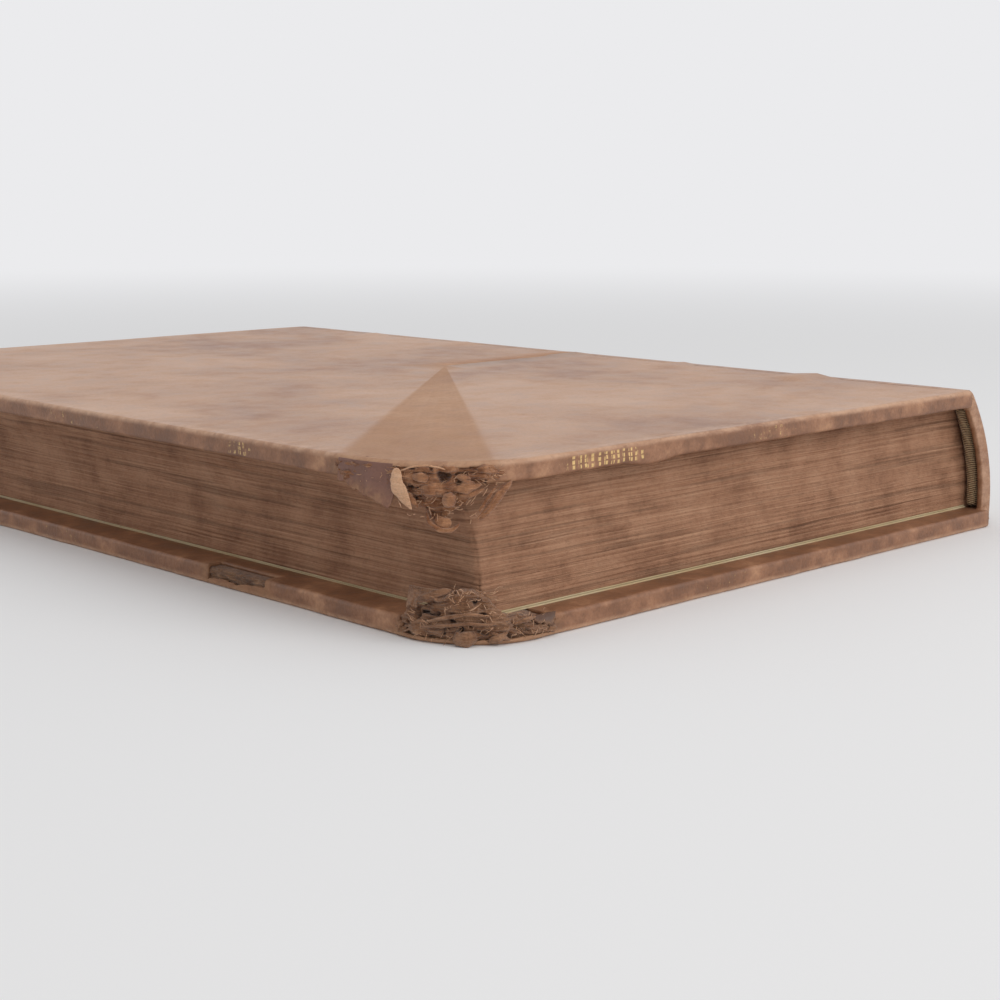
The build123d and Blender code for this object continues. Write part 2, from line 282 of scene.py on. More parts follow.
def leaves_mesh(seed):
    """The leaves as one shell: a loop round head, fore edge, tail and back, repeated up the thickness. The
    fore edge is
    hollowed by a parabola, the leaves swing out to the shoulders at the back, and every edge carries the
    uneven line
    of its sections and leaves."""
    up = np.linspace(0, 1, 118)
    head = stations((0, .04, 8), (.04, .93, 84), (.93, 1, 22))
    side = stations((0, .1, 40), (.1, .95, 90), (.95, 1, 10))
    loop = np.concatenate([head, 1 + side[1:], 2 + stations((0, 1, 60))[1:], 3 + stations((0, 1, 16))[1:-1]])
    u, p = np.meshgrid(up, loop, indexing="ij")
    along_x = np.select([p <= 1, p <= 2, p <= 3], [p, 1 + 0 * p, 3 - p], 0 * p)
    along_y = np.select([p <= 1, p <= 2, p <= 3], [0 * p, p - 1, 1 + 0 * p], 4 - p)
    level = LEAVES_LOW + (LEAVES_HIGH - LEAVES_LOW) * u
    middle = (LEAVES_LOW + LEAVES_HIGH) / 2
    hollow = FORE_HOLLOW * (1 - ((level - middle) / (LEAVES_HIGH - middle)) ** 2)
    fore = -FORE_SQUARE + LEAN_X * level - hollow
    spread_z = 1.6 + (THICKNESS - 3.2) * u
    spine = back_arc(spread_z) + CORE_INSET + 0.15
    x = spine + (fore - spine) * along_x
    low_swing = ease(-x, -JOINT_X + 0.2, -JOINT_X + 2.6) * (1 - ease(u, .1, .5))
    high_swing = ease(-x, -JOINT_X - SLIP_X + 0.2, -JOINT_X - SLIP_X + 2.6) * ease(u, .5, .9)
    z = level + (spread_z - level) * np.clip(low_swing + high_swing, 0, 1)
    head_y = -END_SQUARE - LEAN_Y * z
    tail_y = END_SQUARE - HEIGHT - LEAN_Y * z
    y = head_y + (tail_y - head_y) * along_y
    points = np.stack([x, y, z], -1)
    out = np.stack([(p >= 1) & (p <= 2), 1.0 * (p <= 1) - 1.0 * ((p >= 2) & (p <= 3)), 0 * p],
                   -1).astype(float)
    wander = points + np.stack([0 * z, 0 * z, 0.5 * smooth_noise(points, (60, 60, 12), seed)], -1)
    sections = np.abs(smooth_noise(wander, (400, 400, 1.1), seed + 1))
    leaf_edges = smooth_noise(wander, (34, 34, .3), seed + 2)
    dents = rough_noise(points, (16, 16, 5), seed + 3, 3)
    relief = 0.16 * sections + 0.11 * leaf_edges + 0.16 * dents - 0.3 * ease(0.16 - sections, 0, 0.16)
    relief = relief - 0.18
    corner = np.where(p <= 1, 1 - along_x, np.where(p <= 2, along_y, 1)) * 190
    relief = relief - 0.5 * (1 - ease(corner, 0, 1.2)) * (p <= 2)
    points = points + relief[..., None] * out
    flat = points[[0, -1]].copy()
    flat[..., 1] = (flat[..., 1] - flat[..., 1].mean()) * 0.5 + flat[..., 1].mean()
    flat[..., 0] = (flat[..., 0] + 95) * 0.5 - 95
    points = np.concatenate([flat[:1], points, flat[1:]])
    low_cap = points[:1].mean((0, 1), keepdims=True) + np.zeros_like(points[:1])
    high_cap = points[-1:].mean((0, 1), keepdims=True) + np.zeros_like(points[:1])
    low_cap[..., 2], high_cap[..., 2] = LEAVES_LOW, LEAVES_HIGH
    points = np.concatenate([low_cap, points, high_cap])
    piece = mesh_object("leaves", points, grid_faces(*points.shape[:2], False, True))
    return piece


# The covers.

def edge_section(outer, inner, thickness, face_rows):
    """Columns of a cover's section: how far each reaches from the middle of the face (0) to the edge band
    (1), its
    inset from the outline, its depth, and how far it reaches into the turned-in part."""
    rows = [(f, EDGE_BAND, 0, 0) for f in np.linspace(0, 1, face_rows) ** 0.8]
    rows += [(1, d, 0, 0) for d in (2.1, 1.7, 1.35)]
    for turn in np.linspace(0, math.pi / 2, 7):
        rows.append((1, outer - outer * math.sin(turn), outer - outer * math.cos(turn), 0))
    rows += [(1, 0, h, 0) for h in np.linspace(outer, thickness - inner, 13)[1:-1]]
    for turn in np.linspace(0, math.pi / 2, 6):
        rows.append((1, inner - inner * math.cos(turn), thickness - inner + inner * math.sin(turn), 0))
    rows += [(1, d, thickness, 0) for d in (1.4, 1.9, EDGE_BAND)]
    rows += [(1, EDGE_BAND, thickness, g) for g in np.linspace(0, 1, 8)[1:]]
    return tuple(np.array(rows, float).T)


def cover_grid(s, start, worn, inset_all, columns, turn_to):
    """Points (x, y, depth) of a cover: the face fans from the middle line to the edge band, the section
    follows the
    outline, and the last columns run in to a rectangle turn_to inside the edges."""
    reach, inset, depth, into = columns
    place, out = outline(s, start, worn)
    place = place - inset_all * out
    middle = np.stack([np.clip(place[:, 0], start, -HEIGHT / 2 + 12), np.full(len(s), -HEIGHT / 2)], -1)
    window = np.stack([np.clip(place[:, 0], None, -turn_to),
                       np.clip(place[:, 1], turn_to - HEIGHT, -turn_to)], -1)
    band = place[:, None] - inset[None, :, None] * out[:, None]
    xy = middle[:, None] + (band - middle[:, None]) * reach[None, :, None]
    xy = xy + (window[:, None] - xy) * into[None, :, None]
    return xy, np.broadcast_to(depth, xy.shape[:2]).copy(), place, out


def cover_leather(side):
    """A cover's leather: its edge section carried round the free edges, with the skin lost at the worn
    corner, the
    face slightly uneven, the cords' ends showing beside the joint, and a wall grown inwards."""
    worn = WORN_R[side]
    start = JOINT_X + JOINT_GAP
    head = -start - worn
    bend = math.pi / 2 * worn
    far = head + bend
    total = far + HEIGHT - worn - SOUND_R + math.pi / 2 * SOUND_R - SOUND_R - start
    if side == "back":
        fine = [(0, head - 16, 100), (head - 16, far + 14, 250), (far + 14, far + 42, 30),
                (far + 42, far + 82, 120),
                (far + 82, total - 200, 90), (total - 200, total, 90)]
    else:
        fine = [(0, head - 24, 120), (head - 24, far + 14, 260), (far + 14, total - 200, 160),
                (total - 200, total, 90)]
    s = stations(*fine)
    columns = edge_section(TOP_ARRIS, INNER_ARRIS, COVER_T, 26)
    reach, _, depth, into = columns
    xy, h, place, out = cover_grid(s, start, worn, 0, columns, TURN_IN)
    along = np.broadcast_to(s[:, None], h.shape)
    x, y = xy[..., 0], xy[..., 1]
    flat = np.stack([x, y, 0 * x], -1)
    seed = 11 if side == "front" else 41
    face = (depth == 0)[None, :] * reach[None, :]
    h = h + face * (0.16 * rough_noise(flat, (70, 70, 9), seed, 2) + 0.1 * (reach[None, :] < 1))
    joint_side = ease(-x, -JOINT_X - 16, -JOINT_X - 12)
    for number, band_y in enumerate(BANDS):
        lift = (0.95, .5, .6, .45, .6)[number] if side == "front" else 0.4
        h = h - (depth == 0)[None, :] * joint_side * lift * hump(y - band_y, 0, 5 + 3 * (number == 0))
    wall = (depth > 0)[None, :] * (into == 0)[None, :]
    wobble = 0.16 * rough_noise(np.stack([along, h, 0 * h], -1), (9, 3, 9), seed + 5, 3) - 0.06
    press = -0.35 * hump(along, head - 27.5, 1.6) if side == "front" else 0 * along
    xy = xy + (wall * (np.minimum(wobble, 0.06) + press))[..., None] * out[:, None]
    if side == "front":
        sag = 0.9 * hump(along, head - 36, 11) * ease(h, 2.5, COVER_T)
        h = h + sag
    degrees = np.degrees((along - head) / worn)
    ragged = rough_noise(np.stack([along, 3 * h, 0 * h], -1), (2.2, 2.2, 2.2), seed + 9, 3)
    if side == "front":
        lost = np.minimum(degrees - 25.5 - 2.2 * ragged, 96 - degrees) * worn * 0.0175
        skin = h - 0.95 - 0.35 * ragged
    else:
        lost = np.minimum(degrees + 11 - 2 * ragged, 96 + 3 * ragged - degrees) * worn * 0.0175
        skin = h - 0.95 - 0.3 * ragged
    gone = np.minimum(lost, skin)
    curl = ease(gone, -0.9, -0.05) * (gone < 0.3)
    if side == "back":
        down = -place[:, 1][:, None] + 0 * h
        slit = np.minimum(down - 69.5, 92.5 - down) * (along > far) * (along < total - 200)
        sill = 2.1 + 0.9 * smooth_noise(np.stack([along, 0 * h, 0 * h], -1), 4.5, 71) - 0.09 * (down - 81)
        bite = np.minimum(slit, h - sill - 0.25 * ragged)
        bite = np.where((along > far) & (along < total - 200) & (into < 0.25 + 0.1 * ragged), bite, -9)
        gone = np.maximum(gone, bite)
    xy = xy + (0.28 * curl * wall)[..., None] * out[:, None]
    points = cover_place(side, xy[..., 0], xy[..., 1], h)
    faces = grid_faces(*h.shape, False, False)
    keep = gone.ravel()[faces].mean(1) < 0
    near = 1 - ease(np.abs(gone), 0, 5)
    # edge is 0 on the top face and 1 on the walls and turn-ins, where the material lays on darker side
    # colours that are partly painted shade.
    edge = ease(h, 0.15, 1.6)
    uv = np.stack([along, h + 12 * into[None, :] - np.where(face > 0, 2.5 + 100 * (1 - reach[None, :]), 0)],
                  -1)
    gilt = gilt_left(side, along, head, far) * wall
    rub = np.clip(1.1 - np.abs(h - 0.3) / 0.9, 0, 1) * (reach[None, :] >= 1)
    middle_of_cover = cover_place(side, -95.0, -150.0, COVER_T / 2)
    piece = mesh_object(f"{side}_cover_leather", points, faces[keep], uv,
                        {"edge": edge, "gilt": gilt, "rubbed": rub, "torn": near}, inside=middle_of_cover)
    fix_outward(piece, middle_of_cover)
    add_thickness(piece, LEATHER_T)
    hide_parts(f"{side}_leather")
    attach(piece, f"{side}_cover")
    return piece


def fix_outward(piece, middle):
    """Makes all faces of an open sheet agree, and point away from the middle of the cover."""
    shell = bmesh.new()
    shell.from_mesh(piece.data)
    bmesh.ops.recalc_face_normals(shell, faces=shell.faces)
    centre = Vector((np.asarray(middle) + HOME) * MM)
    total = sum((face.calc_center_median() - centre).dot(face.normal) * face.calc_area()
                for face in shell.faces)
    if total < 0:
        bmesh.ops.reverse_faces(shell, faces=shell.faces)
    shell.to_mesh(piece.data)
    shell.free()


def gilt_left(side, along, head, far):
    """How much of the gilt roll is left along a cover's edge: most beside the worn corner on the head edge,
    a few
    traces further off."""
    if side == "front":
        left = 0.85 * hump(along, head - 21, 22) + 0.35 * hump(along, head - 80, 30)
        left = left + 0.5 * hump(along, far + 40, 10) + 0.3 * hump(along, far + 110, 60)
    else:
        left = 0.3 * hump(along, head - 60, 50) + 0.3 * hump(along, far + 140, 50)
    return np.clip(left + 0.12, 0, 1)


def cover_board(side):
    """A cover's pasteboard: the same outline a leather's thickness in, its edge swollen and split in layers
    where the
    worn corner has lost its skin. Closed at the joint end by joining outer to inner columns."""
    worn = WORN_R[side]
    start = JOINT_X + JOINT_GAP
    head = -start - worn
    far = head + math.pi / 2 * worn
    total = far + HEIGHT - worn - SOUND_R + math.pi / 2 * SOUND_R - SOUND_R - start
    s = stations((0, head - 6, 60), (head - 6, far + 6, 190), (far + 6, far + 38, 24),
                 (far + 38, far + 74, 110),
                 (far + 74, total - 200, 60), (total - 200, total, 40))
    rows = 9
    reach = np.concatenate([np.linspace(0, 1, rows), np.ones(16), np.linspace(1, 0, rows)])
    inset = np.concatenate([np.full(rows, 1.0), [0.35], np.zeros(14), [0.35], np.full(rows, 1.0)])
    level = np.concatenate([np.zeros(rows), [0], np.linspace(0.12, 0.88, 14), [1], np.ones(rows)])
    columns = (reach, inset, level, 0 * reach)
    xy, level, _, out = cover_grid(s, start, worn, LEATHER_T, columns, TURN_IN)
    degrees = np.degrees((s - head) / worn)
    bare = ease(degrees, -2, 10) * (1 - ease(degrees, 80, 94))
    high = LEATHER_T + (COVER_T - LEATHER_T - 0.75) + 0.7 * bare
    h = LEATHER_T + (high[:, None] - LEATHER_T) * level
    seed = 91 if side == "front" else 95
    along = np.broadcast_to(s[:, None], h.shape)
    around = np.stack([along, h, 0 * h], -1)
    plies = np.abs(np.sin(math.pi * (h / 0.62 + 0.5 * smooth_noise(around, (7, 3, 3), seed))))
    rough = 0.3 * plies + 0.3 * rough_noise(around, (2.4, 0.9, 2), seed + 1, 3) - 0.25
    edge = (reach == 1)[None, :] * (inset < 0.5)[None, :]
    xy = xy + (edge * rough)[..., None] * out[:, None]
    points = cover_place(side, xy[..., 0], xy[..., 1], h)
    count = points.shape[1]
    faces = grid_faces(*h.shape, False, False)
    k = np.arange(count // 2)
    last = (len(s) - 1) * count
    ends = [np.stack([k, k + 1, count - 2 - k, count - 1 - k], -1),
            last + np.stack([k, count - 1 - k, count - 2 - k, k + 1], -1)]
    faces = np.concatenate([faces, *ends])
    piece = mesh_object(f"{side}_cover_board", points, faces)
    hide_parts(f"{side}_board")
    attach(piece, f"{side}_cover")
    return piece


# The frayed corners.

def sweep_strand(side, path, wide, thin, seed, rings=26, sides=12, rough=0.22):
    """A closed fibre, curl or flake: an ellipse carried along a path given in corner measures, flat to the
    corner's
    outward direction, its width and thickness running through the given values and rounded off at both
    ends."""
    path = np.asarray(path, float)
    t = np.linspace(0, 1, rings)
    knots = np.linspace(0, 1, len(path))
    line = np.stack([np.interp(t, knots, path[:, n]) for n in range(3)], -1)
    for _ in range(3 if len(path) > 2 else 0):
        line[1:-1] = (line[:-2] + 2 * line[1:-1] + line[2:]) / 4
    centre = corner_place(side, line[:, 0], line[:, 1], line[:, 2])
    outward = corner_place(side, line[:, 0], line[:, 1] + 1, line[:, 2]) - centre
    tangent = unit(np.gradient(centre, axis=0))
    across = unit(np.cross(tangent, outward))
    up = unit(np.cross(across, tangent))
    end = np.sqrt(np.clip(1 - (2 * np.abs(t - 0.5)) ** 6, 0, 1))
    a = np.linspace(0, 2 * math.pi, sides, endpoint=False)
    w = np.interp(t, np.linspace(0, 1, len(wide)), wide) * end
    d = np.interp(t, np.linspace(0, 1, len(thin)), thin) * end
    points = (centre[:, None] + w[:, None, None] * np.cos(a)[None, :, None] * across[:, None]
              + d[:, None, None] * np.sin(a)[None, :, None] * up[:, None])
    bump = 1 + rough * rough_noise(points, (1.1, 1.1, .7), seed, 3)
    points = centre[:, None] + (points - centre[:, None]) * bump[..., None]
    return points.reshape(-1, 3), grid_faces(rings, sides, False, True)


def join_shells(shells):
    """Several shells' points and faces as one."""
    points, faces, base = [], [], 0
    for p, f in shells:
        points.append(p)
        faces.append(f + base)
        base += len(p)
    return np.concatenate(points), np.concatenate(faces)


def frayed_mass(side, low, high, depths, stand, lean, seed, count=300, around=130):
    """Loosened board fibres round a worn corner. A closed section (in under the skin, down the face to the
    given
    depth, back in below) is carried round the corner and closed to a point at both ends, then pushed in and
    out by
    plies, streaks along the edge, lumps and pits."""
    degrees = np.linspace(low, high, count)
    depth = np.interp(degrees / 90, *depths)
    depth = depth + 0.5 * smooth_noise(np.stack([degrees, 0 * degrees, 0 * degrees], -1), 9, seed + 20)
    v = np.linspace(0, 1, around, endpoint=False)
    knots = [0, .14, .2, .45, .72, .86, 1]
    over = np.maximum(depth - COVER_T, 0)
    outs = np.stack([-7 + 0 * depth, stand - .8 + 0 * depth, stand + 0 * depth, stand - lean * over * .4,
                     stand - .4 - lean * over, -2.5 - lean * over, -7 + 0 * depth])
    deep = np.stack([1.1 + 0 * depth, .95 + 0 * depth, 1.2 + 0 * depth, .45 * depth + .6, depth - .6, depth,
                     np.minimum(depth, 4.2)])
    o = np.stack([np.interp(v, knots, outs[:, n]) for n in range(count)])
    h = np.stack([np.interp(v, knots, deep[:, n]) for n in range(count)])
    for _ in range(4):
        o = (np.roll(o, 1, 1) + 2 * o + np.roll(o, -1, 1)) / 4
        h = (np.roll(h, 1, 1) + 2 * h + np.roll(h, -1, 1)) / 4
    q = (degrees - low) / (high - low)
    close = np.sqrt(np.clip(1 - np.abs(2 * q - 1) ** 22, 0, 1))[:, None]
    o = o.mean(1, keepdims=True) + (o - o.mean(1, keepdims=True)) * close
    h = h.mean(1, keepdims=True) + (h - h.mean(1, keepdims=True)) * close
    base = corner_place(side, degrees[:, None] + 0 * o, o, h)
    along = degrees[:, None] * WORN_R[side] * 0.0175 + 0 * o
    field = np.stack([along, h, o], -1)
    bend = h + 1.1 * smooth_noise(field, (8, 5, 6), seed) + 0.5 * smooth_noise(field, (3, 2.5, 4), seed + 1)
    plies = 1 - np.abs(np.sin(math.pi * bend / 0.9)) ** 0.7
    streaks = rough_noise(field, (3.4, .55, 1.5), seed + 2, 3)
    lumps = rough_noise(field, (4.5, 3, 4), seed + 4, 4, 0.55)
    pits = ease(smooth_noise(field, (2.2, 1.3, 2), seed + 8) + 0.45 * smooth_noise(field, (.9, .6, 1),
                                                                                   seed + 9), .34, .75)
    push = 0.34 * plies + 0.3 * streaks + 0.95 * lumps - 1.3 * pits - 0.25
    inner = ease(o, -6.5, -1.0) * close
    normal = unit(np.cross(np.gradient(base, axis=0), np.roll(base, -1, 1) - np.roll(base, 1, 1)))
    outward = corner_place(side, degrees[:, None] + 0 * o, o + 1, h) - base
    sign = np.sign((normal * outward).sum(-1)[:, int(around * .35)].mean())
    points = base + sign * normal * (push * inner)[..., None]
    # pit_shade marks the pushed-in pits, which the board material paints dark as painted shade.
    paint = {"pit_shade": (pits * inner).ravel(), "ply": plies.ravel(), "pale": (lumps * .5 + .5).ravel()}
    return points, paint


def loose_fibres(side, count, low, high, h_low, h_high, seed, long=3.4, out=0.7):
    """Short fibres standing out of the fray: thin five-sided tubes on random curved paths."""
    rng = np.random.default_rng(seed)
    shells = []
    for n in range(count):
        at = rng.uniform(low, high)
        h = rng.uniform(h_low, h_high)
        turn = rng.uniform(-1, 1, 3)
        length = long * rng.uniform(.35, 1)
        path = [(at, -.3, h), (at + turn[0] * length, out * rng.uniform(.2, .8), h + turn[1] * length * .35),
                (at + turn[0] * length * 2.1, out * rng.uniform(.2, 1.4),
                 h + turn[1] * length * .5 + turn[2] * .8)]
        size = rng.uniform(.05, .11)
        shells.append(sweep_strand(side, path, [size, size * .9, size * .5], [size, size * .8, size * .4],
                                   seed + n, 12, 5, 0))
    return shells


def front_corner_lumps():
    """Lumps, curls and flakes of the front cover's worn corner: (path, widths, thicknesses)."""
    return [
        ([(57.5, .5, 3.0), (54, .95, 2.9), (50.5, .6, 3.2)], [.7, 1.1, .8], [.5, .8, .5]),
        ([(54, .2, 5.4), (50, .8, 5.7), (46, .4, 5.6)], [1.0, 1.5, 1.0], [.5, .8, .5]),
        ([(44.5, .4, 7.5), (42, 1.3, 7.6), (39.6, .6, 7.9)], [1.3, 1.75, 1.3], [.9, 1.3, .9]),
        ([(39, .2, 2.8), (36, 1.0, 3.0), (33, .5, 3.6)], [.5, .8, .5], [.4, .6, .3]),
        ([(37, .6, 4.4), (34.5, 1.2, 3.9), (31.5, .8, 4.2)], [.3, .5, .3], [.3, .5, .3]),
        ([(41, .3, 5.6), (35, 1.2, 5.2), (28.5, .5, 4.6)], [.5, 1.15, .4], [.2, .42, .2]),
        ([(38, .1, 6.8), (33, .8, 6.6), (27, .3, 5.6)], [.4, .6, .3], [.2, .3, .2]),
        ([(14, -.1, 4.3), (19, .6, 6.2), (24, .9, 9.0), (29.5, .4, 12.2)], [.5, .8, 1.0, .5],
         [.3, .5, .5, .3]),
        ([(17, -.3, 4.6), (22, .9, 6.8), (26, 1.1, 9.4), (31, .6, 12.0)], [.2, .35, .35, .2],
         [.15, .3, .3, .15]),
        ([(21, -.2, 4.8), (26, .7, 7.6), (30, .9, 10.4)], [.3, .45, .3], [.2, .35, .2]),
        ([(52, -.2, 10.2), (50.5, .6, 12.4), (46, .9, 14.0), (41, .9, 14.1), (37.5, .3, 12.6)],
         [.3, .5, .55, .5, .3], [.3, .45, .5, .4, .3]),
        ([(48, .0, 11.6), (45, .5, 12.6), (41, .4, 12.4)], [.9, 1.5, .9], [.3, .5, .3]),
        ([(62, .1, 6.0), (58, .7, 7.6), (55, .4, 9.4)], [.5, .8, .3], [.3, .4, .2]),
    ]


def back_corner_lumps():
    """Rolled, folded and flaked layers of the back cover's worn corner: (path, widths, thicknesses)."""
    return [
        ([(56, .3, 1.6), (49, 1.3, 1.7), (42, .5, 1.8)], [1.2, 1.7, 1.2], [.8, 1.15, .8]),
        ([(36, .2, .8), (30, 1.1, 1.6), (24, .4, 2.8)], [.5, .95, .4], [.3, .5, .3]),
        ([(34, .3, 2.9), (28, 1.0, 1.9), (22, .3, 1.0)], [.3, .55, .3], [.2, .4, .2]),
        ([(86, -1.0, 7.8), (76, .2, 9.4), (66, -.2, 10.9), (58, -1.1, 11.6)], [.5, .8, .9, .4],
         [.2, .3, .3, .2]),
        ([(74, .4, 4.6), (60, .9, 6.1), (46, .8, 7.0), (34, .3, 6.2)], [.25, .4, .4, .25],
         [.2, .35, .35, .2]),
        ([(78, .5, 3.2), (62, 1.0, 4.3), (47, 1.0, 5.0), (32, .4, 4.4)], [.25, .4, .4, .25],
         [.2, .35, .35, .2]),
        ([(38, .1, 11.0), (34, .5, 10.2), (30, .2, 10.4)], [.2, .4, .2], [.15, .25, .15]),
        ([(44, .2, 12.2), (40, .6, 11.4), (37, .2, 12.1)], [.15, .3, .15], [.15, .25, .15]),
        ([(20, .1, 4.2), (12, .6, 5.0), (4, .2, 5.2)], [.3, .6, .3], [.2, .25, .2]),
    ]


def peeled_flap(name, side, degrees, top, bottom, out_top, out_bottom, seed, wall):
    """A sheet peeled from the corner: rows round the corner, columns from its held edge down to its free
    edge, which
    curls outwards with the square of the way down and is ragged."""
    a, v = np.meshgrid(np.linspace(*degrees, 90), np.linspace(0, 1, 40), indexing="ij")
    q = (a - degrees[0]) / (degrees[1] - degrees[0])
    fringe = 0.8 * rough_noise(np.stack([a, 0 * a, 0 * a], -1), (4, 4, 4), seed, 3)
    low = np.interp(q, np.linspace(0, 1, len(bottom)), bottom) + fringe
    h = top + (low - top) * v
    o = out_top + (np.interp(q, np.linspace(0, 1, len(out_bottom)), out_bottom) - out_top) * v**2
    o = o + 0.3 * rough_noise(np.stack([a * .4, h, 0 * a], -1), (3, 3, 3), seed + 3, 3) * v
    points = corner_place(side,
            a + 2.0 * (q - .5) * 2 * v * smooth_noise(np.stack([h, 0 * h, 0 * h], -1), 1.7, seed + 5), o, h)
    middle = corner_place(side, 45.0, -12.0, 3.0)
    piece = mesh_object(name, points, grid_faces(*a.shape, False, False), np.stack([a, h], -1),
                        {"torn": ease(v, .5, 1).ravel()}, inside=middle)
    add_thickness(piece, wall)
    return piece


# The back of the book.

def back_profile(inset=0.0, step=0.45):
    """The leather's line over the back in x and z, from joint to joint: flat shoulder, swelling arc, flat
    shoulder, with
    its corners eased by averaging neighbours, and the direction into the book."""
    z = np.linspace(0, THICKNESS, 260)
    low = np.stack([np.linspace(JOINT_X - JOINT_GAP, BLOCK_SPINE_X, 30)[:-1], np.zeros(29)], -1)
    arc = np.stack([back_arc(z), z], -1)
    high = np.stack([np.linspace(BLOCK_SPINE_X + SLIP_X, JOINT_X + SLIP_X - JOINT_GAP, 30)[1:],
                     np.full(29, THICKNESS)], -1)
    line = np.concatenate([low, arc, high])
    length = np.concatenate([[0], np.cumsum(np.linalg.norm(np.diff(line, axis=0), axis=1))])
    even = np.arange(0, length[-1], step)
    even = np.append(even[:-1], length[-1])
    line = np.stack([np.interp(even, length, line[:, 0]), np.interp(even, length, line[:, 1])], -1)
    for _ in range(9):
        line[1:-1] = (line[:-2] + 2 * line[1:-1] + line[2:]) / 4
    tangent = unit(np.gradient(line, axis=0))
    inward = np.stack([tangent[:, 1], -tangent[:, 0]], -1)
    return line + inset * inward, inward, even


def spine_leather_mesh(seed):
    """The leather of the back: the back's line repeated from tail to head, raised in a round ridge over each
    cord, and
    at both ends turned over the headband as a rounded cap that runs in and then down behind it."""
    line, inward, length = back_profile()
    cap = np.linspace(0, math.pi / 2, 7)
    reach = 1.3
    end_in = np.concatenate([reach - reach * np.cos(cap), np.linspace(reach, 4.9, 8)[1:], [5.0, 5.0, 4.9]])
    end_y = np.concatenate([reach * np.sin(cap) - reach, np.zeros(7), [-.35, -.9, -1.6]]) - CAP_DROP
    body = stations((-HEIGHT + CAP_DROP + reach, -CAP_DROP - reach, 330))[1:-1]
    y = np.concatenate([-HEIGHT - end_y[::-1], body, end_y])
    depth = np.concatenate([end_in[::-1], 0 * body, end_in])
    t, rows = np.meshgrid(length, y, indexing="ij")
    depth = np.broadcast_to(depth, t.shape).copy()
    z_line = line[:, 1][:, None]
    open_part = np.minimum(length, length[-1] - length)[:, None]
    for band_y in BANDS:
        ridge = BAND_LIFT * np.sqrt(hump(rows, band_y, BAND_HALF_WIDTH)) * ease(open_part, 2.2, 8)
        depth = depth - ridge * (1 - 0.1 * ease(np.abs(z_line - THICKNESS / 2), 8, 18))
    wear = rough_noise(np.stack([t, rows, 0 * t], -1), (18, 18, 9), seed, 3)
    depth = depth + np.clip(0.14 * wear, -0.05, .3) * ease(open_part, 0, 3)
    x = line[:, 0][:, None] + depth * inward[:, 0][:, None]
    z = line[:, 1][:, None] + depth * inward[:, 1][:, None]
    points = np.stack([x, rows - LEAN_Y * z, z], -1)
    high = np.zeros_like(t)
    for band_y in BANDS:
        high = np.maximum(high, hump(rows, band_y, BAND_HALF_WIDTH))
    ends = ease(np.maximum(rows + 14, -HEIGHT - rows + 14), 0, 14)
    points_in = np.array([-185.0, -150.0, THICKNESS / 2])
    piece = mesh_object("spine_back", points, grid_faces(*t.shape, False, False), np.stack([t, rows], -1),
                        {"rubbed": np.clip(high ** 2 * .9 + ends * .7, 0, 1), "edge": 0.45 + 0 * t,
                         "torn": 0 * t, "gilt": 0 * t},
                        inside=points_in)
    fix_outward(piece, points_in)
    add_thickness(piece, LEATHER_T)
    return piece


def joint_strip(side, seed):
    """The leather that bends at a joint: a strip along the book, swelling a little over the bending line and
    sinking
    at both borders under the leather beside it."""
    joint = JOINT_X + (SLIP_X if side == "front" else 0)
    u, y = np.meshgrid(np.linspace(-1, 1, 25), np.linspace(-HEIGHT + 1.8, -1.8, 200), indexing="ij")
    x = joint + 2.3 * u + 0.5
    rise = 0.09 * (1 - u * u) - 0.3 * ease(np.abs(u), .8, 1) + 0.03 * rough_noise(np.stack([x, y, 0 * x], -1),
                                                                                  (3, 8, 3), seed, 2)
    if side == "front":
        points = np.stack([x, y - SLIP_Y, THICKNESS + rise], -1)
    else:
        points = np.stack([x, y, 0.02 - np.minimum(rise, 0)], -1)
    piece = mesh_object(f"{side}_joint", points, grid_faces(*u.shape, False, False), np.stack([x, y], -1),
                        {"rubbed": (1 - u * u) * .8, "edge": 0.4 + 0 * u, "torn": 0 * u, "gilt": 0 * u},
                        inside=np.array([joint, -150.0, THICKNESS / 2]))
    add_thickness(piece, 0.35)
    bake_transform(piece)
    return piece


def worked_band(name, end):
    """A headband: thread wound close round a core, as a tube over the back's arc whose radius rises and
    falls with
    every turn of thread."""
    z = np.linspace(COVER_T + 0.3, THICKNESS - COVER_T - 0.3, 380)
    y = (-END_SQUARE + 1.8 if end == "head" else END_SQUARE - 1.8 - HEIGHT) - LEAN_Y * z
    x = back_arc(z) + CORE_INSET + 1.95
    centre = np.stack([x, y, z], -1)
    tangent = unit(np.gradient(centre, axis=0))
    across = unit(np.cross(tangent, [0, 1.0, 0]))
    up = unit(np.cross(across, tangent))
    a = np.linspace(0, 2 * math.pi, 20, endpoint=False)
    length = np.concatenate([[0], np.cumsum(np.linalg.norm(np.diff(centre, axis=0), axis=1))])
    radius = 1.5 + 0.2 * np.abs(np.sin(math.pi * length[:, None] / 0.62 + a[None, :] / 2)) ** 0.6
    ends = np.sqrt(np.clip(1 - np.abs(2 * length / length[-1] - 1) ** 40, 0, 1))
    radius = radius * ends[:, None]
    points = (centre[:, None] + (radius * np.cos(a))[..., None] * across[:, None] + (radius * np.sin(a))[...,
            None] * up[:, None])
    uv = np.stack([np.broadcast_to(length[:, None], radius.shape), np.broadcast_to(a[None, :], radius.shape)],
                  -1)
    piece = mesh_object(name, points, grid_faces(*radius.shape, False, True), uv)
    return piece


# Colours and materials.

def srgb(code):
    """Red, green and blue of a hex code, 0 to 1, still sRGB."""
    return tuple(int(code[n:n + 2], 16) / 255 for n in (1, 3, 5))


def linear(colour):
    """A hex code or an sRGB triple as the linear colour that a shader takes."""
    values = srgb(colour) if isinstance(colour, str) else colour
    return tuple(c / 12.92 if c <= 0.04045 else ((c + 0.055) / 1.055) ** 2.4
                 for c in tuple(values)[:3]) + (1.0,)


